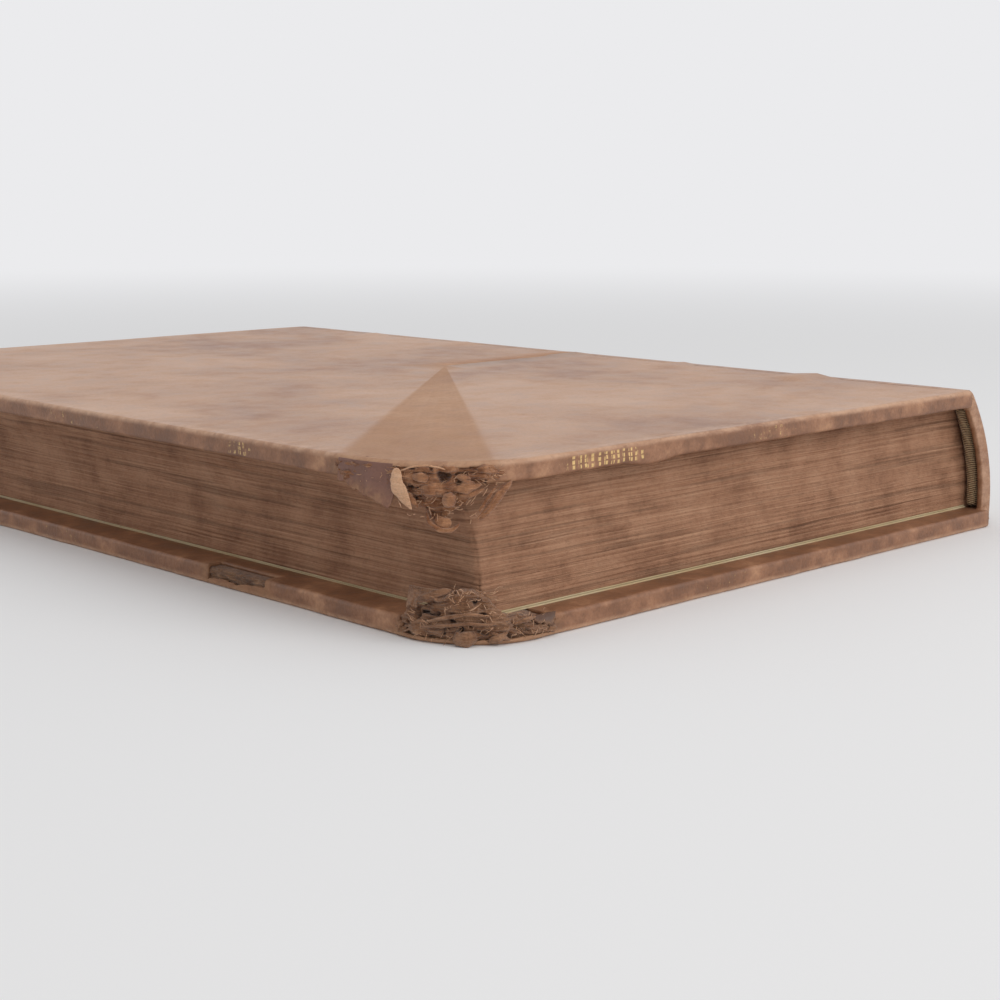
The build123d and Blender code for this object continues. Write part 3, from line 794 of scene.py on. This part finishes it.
def add(tree, kind, values=None, links=None, **attributes):
    """Adds one node: attributes are its settings, values its sockets' constants, links the (node, output)
    that feed it."""
    node = tree.nodes.new(kind)
    for key, value in attributes.items():
        setattr(node, key, value)
    for key, value in (values or {}).items():
        node.inputs[key].default_value = value
    for key, (source, output) in (links or {}).items():
        tree.links.new(source.outputs[output], node.inputs[key])
    return node


def ramp(tree, source, output, stops):
    """A colour ramp through (position, hex colour) stops."""
    node = add(tree, "ShaderNodeValToRGB", links={"Fac": (source, output)})
    elements = node.color_ramp.elements
    while len(elements) < len(stops):
        elements.new(0.5)
    for element, (place, colour) in zip(elements, stops):
        element.position = place
        element.color = linear(colour) if isinstance(colour, str) else (colour,) * 3 + (1.0,)
    return node


def new_material(name):
    """An empty material with its output, and the tree."""
    material = bpy.data.materials.new(name)
    material.use_nodes = True
    material.node_tree.nodes.clear()
    return material, material.node_tree


def noise_mm(tree, vector, cell, detail=3.0, roughness=0.55, stretch=None, distortion=0.0):
    """Noise whose cell is given in millimetres, with an optional stretch of the cell along x, y and z."""
    if stretch:
        scaled = tuple(1 / s for s in stretch)
        vector = (add(tree, "ShaderNodeMapping", {"Scale": scaled}, {"Vector": vector}), "Vector")
    return add(tree, "ShaderNodeTexNoise",
               {"Scale": 1 / (cell * MM), "Detail": detail, "Roughness": roughness,
                                            "Distortion": distortion}, {"Vector": vector})


def mix_colour(tree, factor, a, b, blend="MIX"):
    """Mixes two colours, each a (node, output) or a hex code, by a (node, output) or a number."""
    node = add(tree, "ShaderNodeMix", data_type="RGBA", blend_type=blend)
    for index, value in ((0, factor), (6, a), (7, b)):
        if isinstance(value, tuple) and not isinstance(value[0], float):
            tree.links.new(value[0].outputs[value[1]], node.inputs[index])
        elif isinstance(value, str):
            node.inputs[index].default_value = linear(value)
        else:
            node.inputs[index].default_value = value
    return node, 2


def calc(tree, operation, a, b=0.0, clamp=False):
    """One sum on two values, each a number or a (node, output)."""
    node = add(tree, "ShaderNodeMath", operation=operation, use_clamp=clamp)
    for index, value in ((0, a), (1, b)):
        if isinstance(value, tuple):
            tree.links.new(value[0].outputs[value[1]], node.inputs[index])
        else:
            node.inputs[index].default_value = value
    return node, 0


def painted(tree, name):
    """A value painted on the mesh's points."""
    return add(tree, "ShaderNodeAttribute", attribute_name=name), "Fac"


def calf_leather(name, face_colours, shaded_side_colours, gilding):
    """Vegetable-tanned calf, polished and much rubbed: a fine pored skin with darker and paler clouds, small
    scuffs that show the pale inside, and what is left of a gilt roll. Where the edge mask is set, darker side
    colours are mixed in; on the cover walls and turn-ins they are partly painted shade of faces turned from
    the light above, and partly the rubbed top being paler. It gives the eye a soft sheen broken by grain, and
    a chalky, fibrous look where it is torn."""
    material, tree = new_material(name)
    here = add(tree, "ShaderNodeTexCoord"), "Object"
    clouds = noise_mm(tree, here, 55, 4, 0.6, distortion=0.4)
    spots = noise_mm(tree, here, 9, 5, 0.65)
    grain = noise_mm(tree, here, 0.9, 3, 0.6)
    pores = add(tree, "ShaderNodeTexVoronoi", {"Scale": 1 / (0.75 * MM), "Randomness": 1.0}, {"Vector": here})
    scuffs = noise_mm(tree, here, 2.6, 6, 0.72, stretch=(2.2, 1, 1))
    face = ramp(tree, clouds, "Fac",
                [(0.32, face_colours[0]), (0.46, face_colours[1]), (0.58, face_colours[2]),
                 (0.72, face_colours[3])])
    side = ramp(tree, spots, "Fac",
                [(0.3, shaded_side_colours[0]), (0.45, shaded_side_colours[1]), (0.58, shaded_side_colours[2]),
                 (0.72, shaded_side_colours[3])])
    # Painted shade in part: the edge mask lays the darker side colours on the cover walls and turn-ins.
    base = mix_colour(tree, painted(tree, "edge"), (face, "Color"), (side, "Color"))
    dark_spots = ramp(tree, spots, "Fac", [(0.34, 1.0), (0.47, 0.0)])
    base = mix_colour(tree, calc(tree, "MULTIPLY", (dark_spots, "Color"), 0.35), base, face_colours[0])
    worn = calc(tree, "MULTIPLY", painted(tree, "rubbed"),
                (ramp(tree, scuffs, "Fac", [(0.42, 0.0), (0.6, 1.0)]), "Color"))
    base = mix_colour(tree, calc(tree, "MULTIPLY", worn, 0.75, True), base, "#c9a184")
    torn = calc(tree, "MULTIPLY", painted(tree, "torn"),
                (ramp(tree, scuffs, "Fac", [(0.4, 0.15), (0.62, 1.0)]), "Color"))
    base = mix_colour(tree, calc(tree, "MULTIPLY", torn, 0.7, True), base, "#a9805f")
    fine = ramp(tree, grain, "Fac", [(0.3, 0.72), (0.5, 0.98), (0.75, 1.0)])
    base = mix_colour(tree, 0.55, base, (fine, "Color"), "MULTIPLY")
    along = add(tree, "ShaderNodeUVMap", uv_map="along_across"), "UV"
    split = add(tree, "ShaderNodeSeparateXYZ", links={"Vector": along})
    motif = add(tree, "ShaderNodeTexWave", {"Scale": 1 / (GILT_PITCH * MM), "Distortion": 2.2, "Detail": 2.0,
                                            "Detail Scale": 1.4}, {"Vector": along}, wave_type="BANDS",
                bands_direction="X")
    hatch = add(tree, "ShaderNodeTexVoronoi", {"Scale": 1 / (1.15 * MM), "Randomness": 0.25},
                {"Vector": along}, distance="CHEBYCHEV")
    motif = calc(tree, "MULTIPLY", (ramp(tree, motif, "Fac", [(0.42, 0.0), (0.55, 1.0)]), "Color"),
                 (ramp(tree, hatch, "Distance", [(0.3, 1.0), (0.42, 0.0)]), "Color"))
    lift = calc(tree, "COMPARE", (split, "Y"), 2.6 * MM)
    lift[0].inputs[2].default_value = 1.5 * MM
    left = calc(tree, "SUBTRACT", calc(tree, "MULTIPLY", painted(tree, "gilt"), gilding),
                (noise_mm(tree, here, 1.6, 5, 0.7), "Fac"))
    gold = calc(tree, "MULTIPLY", calc(tree, "MULTIPLY", motif, lift),
                calc(tree, "MULTIPLY", left, 9.0, True), True)
    base = mix_colour(tree, gold, base, "#e0bd83")
    height = calc(tree, "ADD", calc(tree, "MULTIPLY", (pores, "Distance"), 0.35),
                  calc(tree, "MULTIPLY", (grain, "Fac"), 0.5))
    height = calc(tree, "ADD", height, calc(tree, "MULTIPLY", (scuffs, "Fac"), 1.1))
    bump = add(tree, "ShaderNodeBump", {"Strength": 0.55, "Distance": 0.22 * MM}, {"Height": height})
    gloss = ramp(tree, spots, "Fac", [(0.3, 0.36), (0.55, 0.46), (0.75, 0.56)])
    gloss = calc(tree, "ADD", (gloss, "Color"), calc(tree, "MULTIPLY", painted(tree, "torn"), 0.3), True)
    shader = add(tree, "ShaderNodeBsdfPrincipled", {"IOR": 1.5, "Specular IOR Level": 0.5},
                 {"Base Color": base, "Roughness": gloss, "Normal": (bump, "Normal"),
                  "Metallic": calc(tree, "MULTIPLY", gold, 0.75)})
    add(tree, "ShaderNodeOutputMaterial", links={"Surface": (shader, "BSDF")})
    return material


def frayed_board(name, tones):
    """Pasteboard of glued waste paper and rope fibre, browned and furred: fine plies and streaks along the
    edge, pits, and a felted surface with no gloss. Its tones are partly the board's own mottling and partly
    painted light: painted shade in the low streaks, the pits and the low fuzz, painted highlight on the
    raised streaks."""
    material, tree = new_material(name)
    here = add(tree, "ShaderNodeTexCoord"), "Object"
    streaks = noise_mm(tree, here, 1.0, 5, 0.7, stretch=(3, 3, 0.45), distortion=0.6)
    patches = noise_mm(tree, here, 4.2, 4, 0.6)
    fuzz = noise_mm(tree, here, 0.38, 3, 0.7)
    # Painted light in part: the streaks also raise the bump, so this ramp paints shade in the grooves and
    # highlight on the ridges.
    base = ramp(tree, streaks, "Fac",
                [(0.28, tones[0]), (0.42, tones[1]), (0.56, tones[2]), (0.72, tones[3])])
    pale = ramp(tree, patches, "Fac", [(0.4, tones[1]), (0.62, tones[3])])
    base = mix_colour(tree, 0.42, (base, "Color"), (pale, "Color"))
    # Painted shade: the pushed-in pits take the darkest tone.
    base = mix_colour(tree, calc(tree, "MULTIPLY", painted(tree, "pit_shade"), 0.85, True), base, tones[0])
    shade = ramp(tree, fuzz, "Fac", [(0.3, 0.62), (0.6, 1.0)])
    base = mix_colour(tree, 0.6, base, (shade, "Color"), "MULTIPLY")
    height = calc(tree, "ADD", calc(tree, "MULTIPLY", (streaks, "Fac"), 1.6), (fuzz, "Fac"))
    bump = add(tree, "ShaderNodeBump", {"Strength": 0.9, "Distance": 0.35 * MM}, {"Height": height})
    shader = add(tree, "ShaderNodeBsdfPrincipled",
                 {"Roughness": 0.9, "IOR": 1.45, "Specular IOR Level": 0.25, "Sheen Weight": 0.25,
                                                    "Sheen Roughness": 0.5},
                 {"Base Color": base, "Normal": (bump, "Normal")})
    add(tree, "ShaderNodeOutputMaterial", links={"Surface": (shader, "BSDF")})
    return material


def leaf_edges(name, tones):
    """Handmade paper seen on its cut edges, once sprinkled and now browned: hundreds of fine uneven lines
    that lie
    level, darker dirt between sections, and a dull face."""
    material, tree = new_material(name)
    here = add(tree, "ShaderNodeTexCoord"), "Object"
    warp = noise_mm(tree, here, 38, 2, 0.5)
    moved = add(tree, "ShaderNodeVectorMath", operation="MULTIPLY_ADD")
    tree.links.new(warp.outputs["Color"], moved.inputs[0])
    moved.inputs[1].default_value = (0, 0, 0.9 * MM)
    tree.links.new(here[0].outputs[here[1]], moved.inputs[2])
    lines = noise_mm(tree, (moved, "Vector"), 0.55, 4, 0.75, stretch=(70, 70, 0.5))
    groups = noise_mm(tree, (moved, "Vector"), 1.0, 2, 0.5, stretch=(60, 60, 1.3))
    dirt = noise_mm(tree, here, 13, 5, 0.65)
    specks = noise_mm(tree, here, 0.8, 3, 0.7, stretch=(1.6, 1.6, 0.8))
    base = ramp(tree, lines, "Fac", [(0.3, tones[0]), (0.44, tones[1]), (0.56, tones[2]), (0.7, tones[3])])
    base = mix_colour(tree, 0.4, (base, "Color"),
            (ramp(tree, dirt, "Fac", [(0.34, tones[0]), (0.5, tones[2]), (0.68, tones[3])]), "Color"))
    seams = ramp(tree, groups, "Fac", [(0.36, 0.55), (0.45, 1.0)])
    base = mix_colour(tree, 0.6, base, (seams, "Color"), "MULTIPLY")
    base = mix_colour(tree, 0.5, base, (ramp(tree, specks, "Fac", [(0.3, 0.6), (0.5, 1.0)]), "Color"),
                      "MULTIPLY")
    height = calc(tree, "ADD", calc(tree, "MULTIPLY", (lines, "Fac"), 1.5), (specks, "Fac"))
    bump = add(tree, "ShaderNodeBump", {"Strength": 0.8, "Distance": 0.25 * MM}, {"Height": height})
    shader = add(tree, "ShaderNodeBsdfPrincipled",
                 {"Roughness": 0.72, "IOR": 1.45, "Specular IOR Level": 0.3},
                 {"Base Color": base, "Normal": (bump, "Normal")})
    add(tree, "ShaderNodeOutputMaterial", links={"Surface": (shader, "BSDF")})
    return material


def laid_paper(name, tones):
    """Handmade laid paper, browned at its borders and foxed: faint laid lines about a millimetre apart,
    cloudy fibre,
    small rust spots, and a soft matt face."""
    material, tree = new_material(name)
    here = add(tree, "ShaderNodeTexCoord"), "Object"
    clouds = noise_mm(tree, here, 30, 5, 0.6)
    fibre = noise_mm(tree, here, 1.4, 4, 0.65)
    rust = noise_mm(tree, here, 6, 3, 0.6)
    laid = add(tree, "ShaderNodeTexWave", {"Scale": 1 / (2.4 * MM), "Distortion": 0.4}, {"Vector": here},
               bands_direction="Y")
    base = ramp(tree, clouds, "Fac", [(0.3, tones[0]), (0.5, tones[1]), (0.7, tones[2])])
    base = mix_colour(tree, 0.3, (base, "Color"),
                      (ramp(tree, fibre, "Fac", [(0.3, 0.8), (0.6, 1.0)]), "Color"), "MULTIPLY")
    base = mix_colour(tree, 0.1, base, (laid, "Color"), "MULTIPLY")
    foxing = ramp(tree, rust, "Fac", [(0.66, 0.0), (0.76, 0.7)])
    base = mix_colour(tree, (foxing, "Color"), base, "#96653d")
    bump = add(tree, "ShaderNodeBump", {"Strength": 0.35, "Distance": 0.1 * MM},
               {"Height": calc(tree, "ADD", (fibre, "Fac"), calc(tree, "MULTIPLY", (laid, "Fac"), 0.3))})
    shader = add(tree, "ShaderNodeBsdfPrincipled", {"Roughness": 0.85, "Specular IOR Level": 0.25},
                 {"Base Color": base, "Normal": (bump, "Normal")})
    add(tree, "ShaderNodeOutputMaterial", links={"Surface": (shader, "BSDF")})
    return material


def twisted_fibre(name, tones, pitch, uv=None):
    """Hemp cord or linen thread: slanting plies with loose fuzz between them, dry and unpolished. The ply's
    spacing is
    the real pitch in millimetres."""
    material, tree = new_material(name)
    if uv:
        here = add(tree, "ShaderNodeUVMap", uv_map=uv), "UV"
    else:
        here = add(tree, "ShaderNodeTexCoord"), "Object"
    slant = add(tree, "ShaderNodeMapping", {"Rotation": (0.5, 0.6, 0.55)}, {"Vector": here})
    plies = add(tree, "ShaderNodeTexWave",
                {"Scale": 1 / (pitch * MM) * 0.5, "Distortion": 1.2, "Detail": 2.0},
                {"Vector": (slant, "Vector")})
    fuzz = noise_mm(tree, (add(tree, "ShaderNodeTexCoord"), "Object"), 0.6, 4, 0.7)
    base = ramp(tree, plies, "Fac", [(0.15, tones[0]), (0.5, tones[1]), (0.9, tones[2])])
    base = mix_colour(tree, 0.4, (base, "Color"),
                      (ramp(tree, fuzz, "Fac", [(0.3, 0.6), (0.6, 1.0)]), "Color"), "MULTIPLY")
    bump = add(tree, "ShaderNodeBump", {"Strength": 0.7, "Distance": 0.2 * MM},
               {"Height": calc(tree, "ADD", (plies, "Fac"), (fuzz, "Fac"))})
    shader = add(tree, "ShaderNodeBsdfPrincipled",
            {"Roughness": 0.88, "Specular IOR Level": 0.25, "Sheen Weight": 0.2},
                 {"Base Color": base, "Normal": (bump, "Normal")})
    add(tree, "ShaderNodeOutputMaterial", links={"Surface": (shader, "BSDF")})
    return material


def dress(piece, material):
    """Gives a piece one material."""
    piece.data.materials.clear()
    piece.data.materials.append(material)
    return piece


# Settings, operators and panel.

class BookSizes(bpy.types.PropertyGroup):
    """Sizes that a user may change."""
    seed: IntProperty(name="Seed", description="Picks another unevenness of the leaves' edges", default=5,
                      min=0)
    fray: FloatProperty(name="Fray", description="How far the board's fibres stand out of a worn corner",
                        default=0.0004, unit="LENGTH")
    flap_wall: FloatProperty(name="Flap", description="Thickness of the peeled leather", default=0.0007,
                             unit="LENGTH")
    lamp_size: FloatProperty(name="Lamp size", description="Side of the main soft lamp", default=0.95,
                             unit="LENGTH")


class BookColours(bpy.types.PropertyGroup):
    """Colours that a user may change, as sRGB."""
    floor: FloatVectorProperty(name="Floor", description="Colour of the floor", subtype="COLOR_GAMMA", size=3,
                               default=srgb("#ededee"))
    ground: FloatVectorProperty(name="Backdrop", description="Colour behind the book", subtype="COLOR_GAMMA",
                                size=3, default=srgb("#ebebed"))


def place_camera():
    """The camera: beside the book's head and fore corner, level across, pointing down."""
    data = bpy.data.cameras.new("camera")
    data.lens = CAMERA_LENS
    data.sensor_width = CAMERA_SENSOR
    data.clip_start = 0.01
    data.clip_end = 50
    camera = bpy.data.objects.new("camera", data)
    bpy.context.scene.collection.objects.link(camera)
    camera.location = (np.array(CAMERA_PLACE) + HOME) * MM
    yaw, pitch = math.radians(CAMERA_YAW), math.radians(CAMERA_PITCH)
    look = Vector((math.cos(yaw) * math.cos(pitch), math.sin(yaw) * math.cos(pitch), math.sin(pitch)))
    camera.rotation_euler = look.to_track_quat("-Z", "Y").to_euler()
    bpy.context.scene.camera = camera


def soft_lamp(name, place, aim, size, power, colour):
    """A square area lamp at place, turned to aim."""
    data = bpy.data.lights.new(name, "AREA")
    data.size, data.energy, data.color = size, power, colour
    lamp = bpy.data.objects.new(name, data)
    bpy.context.scene.collection.objects.link(lamp)
    lamp.location = place
    lamp.rotation_euler = (Vector(aim) - Vector(place)).to_track_quat("-Z", "Y").to_euler()


class BOOK_OT_stage(bpy.types.Operator):
    """Camera, pale floor that fades into the backdrop, soft lamps and world"""
    bl_idname = "book.stage"
    bl_label = "Stage"

    def execute(self, context):
        colours, sizes = context.scene.book_colours, context.scene.book_sizes
        context.scene.view_settings.view_transform = "Standard"
        place_camera()
        u, v = np.meshgrid(np.linspace(-6000, 6000, 9), np.linspace(-6000, 6000, 9), indexing="ij")
        floor = mesh_object("floor", np.stack([u, v, -0.02 + 0 * u], -1), grid_faces(9, 9, False, False),
                            inside=(0, 0, -500))
        material, tree = new_material("matt white studio card")
        here = add(tree, "ShaderNodeTexCoord"), "Object"
        away = add(tree, "ShaderNodeVectorMath", {}, {"Vector": here}, operation="LENGTH")
        fade = add(tree, "ShaderNodeMapRange", {"From Min": 0.28, "From Max": 1.5},
                   {"Value": (away, "Value")}, interpolation_type="SMOOTHSTEP")
        card = add(tree, "ShaderNodeBsdfDiffuse", {"Color": linear(colours.floor)})
        far = add(tree, "ShaderNodeEmission", {"Color": linear(colours.ground), "Strength": 1.0})
        seen = add(tree, "ShaderNodeLightPath")
        shown = calc(tree, "MULTIPLY", (fade, "Result"),
                     calc(tree, "ADD", (seen, "Is Camera Ray"), (seen, "Is Glossy Ray"), True))
        mixed = add(tree, "ShaderNodeMixShader",
                    links={"Fac": shown, 1: (card, "BSDF"), 2: (far, "Emission")})
        add(tree, "ShaderNodeOutputMaterial", links={"Surface": (mixed, "Shader")})
        dress(floor, material)
        middle = (0, 0, 0.02)
        soft_lamp("main lamp", (-0.25, 1.15, 0.62), middle, sizes.lamp_size, 6.0, (1, 0.985, 0.965))
        soft_lamp("overhead lamp", (0.1, 0.1, 1.5), middle, 1.3, 3.6, (1, 1, 1))
        world = bpy.data.worlds.new("studio")
        world.use_nodes = True
        tree = world.node_tree
        tree.nodes.clear()
        path = add(tree, "ShaderNodeLightPath")
        seen = calc(tree, "ADD", (path, "Is Camera Ray"),
                    calc(tree, "ADD", (path, "Is Glossy Ray"), (path, "Is Transmission Ray")), True)
        room = add(tree, "ShaderNodeBackground", {"Color": (1, 1, 1, 1), "Strength": 0.6})
        white = add(tree, "ShaderNodeBackground", {"Color": linear(colours.ground), "Strength": 1.0})
        mixed = add(tree, "ShaderNodeMixShader",
                    links={"Fac": seen, 1: (room, "Background"), 2: (white, "Background")})
        add(tree, "ShaderNodeOutputWorld", links={"Surface": (mixed, "Shader")})
        context.scene.world = world
        return {"FINISHED"}


class BOOK_OT_leaves(bpy.types.Operator):
    """The leaves, the flyleaves and the pasted sheets"""
    bl_idname = "book.leaves"
    bl_label = "Leaves"

    def execute(self, context):
        edges = leaf_edges("browned handmade paper, cut edges", ("#6d4a36", "#94694f", "#ab8064", "#c39a7c"))
        piece = dress(leaves_mesh(context.scene.book_sizes.seed), edges)
        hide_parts("text_block")
        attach(piece, "text_block")
        paper = laid_paper("laid paper, foxed", ("#c9b288", "#d8c6a0", "#e0d2b2"))
        for name in ("back_flyleaf", "front_flyleaf", "back_pastedown", "front_pastedown", "spine_lining"):
            dress(frame["nodes"][name], paper)
        return {"FINISHED"}


class BOOK_OT_covers(bpy.types.Operator):
    """Leather and boards of both covers"""
    bl_idname = "book.covers"
    bl_label = "Covers"

    def execute(self, context):
        # The second colour list is the darker side colour of the cover walls and turn-ins, partly painted
        # shade.
        leather = calf_leather("polished calf, rubbed", ("#94694f", "#ad8264", "#ba8f70", "#c39b7e"),
                               ("#5d3d2a", "#80573d", "#996c4f", "#b98b69"), 1.0)
        # Board tones run from painted shade in grooves and pits to painted highlight on raised fibres, with
        # the board's own browns between.
        board = frayed_board("pasteboard, browned", ("#3a2114", "#6d4a31", "#8d6446", "#b08562"))
        for side in ("back", "front"):
            dress(cover_leather(side), leather)
            dress(cover_board(side), board)
        return {"FINISHED"}


class BOOK_OT_worn_corners(bpy.types.Operator):
    """Loosened fibres, curls, flakes and peeled leather of the two worn corners"""
    bl_idname = "book.worn_corners"
    bl_label = "Worn corners"

    def execute(self, context):
        stand = context.scene.book_sizes.fray / MM
        wall = context.scene.book_sizes.flap_wall / MM
        # Each tone list runs from painted shade in grooves and pits to painted highlight on raised fibres,
        # with the board's own browns between.
        upper = frayed_board("board fibre, rust brown", ("#3d1f10", "#7d4c2d", "#a56f4b", "#d09a72"))
        lower = frayed_board("board fibre, layered", ("#38200f", "#7a5237", "#9c7050", "#bd9070"))
        pale = frayed_board("leather fibre, pale", ("#9c6f4d", "#cf9a73", "#e2b08a", "#eec3a0"))
        skin = calf_leather("calf, peeled and greyed", ("#6d4a3a", "#80584a", "#8b6453", "#9b7868"),
                            ("#5d3f30", "#7a5444", "#8b6453", "#a07a68"), 0.0)
        scrap = calf_leather("calf, dark scrap", ("#3f2a20", "#523727", "#5e4030", "#6d4c3a"),
                             ("#3f2a20", "#523727", "#5e4030", "#6d4c3a"), 0.0)
        plans = {
            "front": (16, 101,
                      ([0, .18, .29, .38, .45, .54, .6, .7, .8, .85, .95, 1.1],
                       [4.3, 4.4, 4.8, 8.8, 11, 13.4, 10.5, 8.2, 7.4, 6.6, 5.6, 4.4]), 0.12, upper,
                      front_corner_lumps(), 33),
            "back": (-15, 101,
                     ([-.2, 0, .12, .25, .36, .5, .6, .8, 1.0, 1.15],
                      [4.3, 4.6, 4.8, 5.8, 9.6, 11.6, 12, 9, 6.2, 4.4]), 0.3, lower, back_corner_lumps(), 57),
        }
        for side, (low, high, depths, lean, fibre, lumps, seed) in plans.items():
            points, paint = frayed_mass(side, low, high, depths, stand, lean, seed)
            mass = mesh_object(f"{side}_corner_fray", points, grid_faces(*points.shape[:2], False, True),
                               None, paint)
            shells = [sweep_strand(side, *lump, seed + n) for n, lump in enumerate(lumps)]
            curls = mesh_object(f"{side}_corner_curls", *join_shells(shells))
            hairs = loose_fibres(side, 90, 20 if side == "front" else -8, 84, 1.2, 6.5, seed + 300)
            hairs += loose_fibres(side, 46, 30, 62, 6, 12, seed + 500)
            hairs = mesh_object(f"{side}_corner_hairs", *join_shells(hairs))
            for piece, material in ((mass, fibre), (curls, fibre), (hairs, pale)):
                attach(dress(piece, material), f"{side}_cover")
        tongue = sweep_strand("front",
                [(64.5, .5, 1.2), (64, 1.3, 3.0), (62.5, 1.7, 5.4), (60, 1.4, 7.6), (57.5, 1.0, 9.8)],
                              [.9, 1.3, 1.6, 1.1, .35], [.25, .35, .35, .3, .15], 610, 40, 16, .12)
        arch = sweep_strand("front",
                            [(62.5, .6, 1.8), (57, 1.3, .7), (51, 1.5, .35), (46, 1.2, .8), (42, .6, 1.6)],
                            [.16, .2, .2, .16, .1], [.14, .18, .18, .14, .1], 620, 40, 8, .1)
        thread = sweep_strand("front", [(63.5, .8, 8.0), (62.2, 1.5, 8.6), (61.8, 1.2, 9.5)], [.09, .1, .07],
                              [.09, .1, .07], 630, 16, 6, 0)
        strip = mesh_object("front_corner_tongue", *join_shells([tongue, arch, thread]))
        flap = peeled_flap("front_corner_flap", "front", (66.5, 97), 0.5, (9.6, 8.0, 6.6, 5.4, 4.7), 0.25,
                           (1.5, 1.7, 1.3, .5, .1), 640, wall)
        lid = peeled_flap("back_corner_flap", "back", (60, 92), 11.2, (10.6, 9.6, 8.2, 7.0), -1.6,
                          (.4, .5, .3, -.2), 650, wall * .6)
        bit = peeled_flap("back_corner_scrap", "back", (-13, 9), 5.3, (3.6, 3.4, 4.2, 4.4), .1,
                          (.5, .6, .5, .2), 660, wall)
        for piece, body, material, slot in ((strip, "front_cover", pale, "pasteboard"),
                                            (flap, "front_cover", skin, "calf_leather"),
                                            (lid, "back_cover", lower, "pasteboard"),
                                            (bit, "back_cover", scrap, "calf_leather")):
            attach(dress(piece, material), body)
        return {"FINISHED"}


class BOOK_OT_back(bpy.types.Operator):
    """Leather of the back with its raised bands and caps, the joints, headbands and cords"""
    bl_idname = "book.back"
    bl_label = "Back"

    def execute(self, context):
        leather = calf_leather("calf of the back, handled", ("#7a533c", "#93684b", "#a67a5a", "#b88d6c"),
                               ("#6a4630", "#8c6146", "#a67a5a", "#c0977a"), 0.0)
        back = dress(spine_leather_mesh(23), leather)
        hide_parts("spine_leather")
        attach(back, "text_block")
        for n, side in enumerate(("back", "front")):
            dress(joint_strip(side, 70 + n), leather)
        thread = twisted_fibre("worked linen thread, faded", ("#5c4432", "#a98a66", "#cdb48e"), 0.62,
                               "along_across")
        for node, end in (("headband", "head"), ("tailband", "tail")):
            band = dress(worked_band(f"worked_{node}", end), thread)
            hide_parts(node)
            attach(band, "text_block")
        hemp = twisted_fibre("hemp cord", ("#6b5238", "#a58963", "#c6ad84"), 1.1)
        for name in [*(f"sewing_cord_{n + 1}" for n in range(BAND_COUNT)), "front_cord_lacings",
                     "back_cord_lacings"]:
            dress(frame["nodes"][name], hemp)
        return {"FINISHED"}


OPERATORS = (BOOK_OT_stage, BOOK_OT_leaves, BOOK_OT_covers, BOOK_OT_worn_corners, BOOK_OT_back)


class BOOK_PT_panel(bpy.types.Panel):
    """Lists the book's settings and operators"""
    bl_label = "Old calf-bound book"
    bl_idname = "BOOK_PT_panel"
    bl_space_type = "VIEW_3D"
    bl_region_type = "UI"
    bl_category = "Book"

    def draw(self, context):
        for group in (context.scene.book_sizes, context.scene.book_colours):
            for name in group.bl_rna.properties.keys():
                if name not in ("rna_type", "name"):
                    self.layout.prop(group, name)
        for operator in OPERATORS:
            self.layout.operator(operator.bl_idname)


CLASSES = (BookSizes, BookColours, *OPERATORS, BOOK_PT_panel)


def register():
    """Registers the classes and hangs the settings on the scene."""
    for item in CLASSES:
        bpy.utils.register_class(item)
    bpy.types.Scene.book_sizes = PointerProperty(type=BookSizes)
    bpy.types.Scene.book_colours = PointerProperty(type=BookColours)


def unregister():
    """Undoes register."""
    del bpy.types.Scene.book_colours
    del bpy.types.Scene.book_sizes
    for item in reversed(CLASSES):
        bpy.utils.unregister_class(item)


def main():
    """Builds the book piece by piece."""
    register()
    bpy.ops.book.stage()
    bpy.ops.book.leaves()
    bpy.ops.book.covers()
    bpy.ops.book.worn_corners()
    bpy.ops.book.back()


if __name__ == "__main__":
    main()
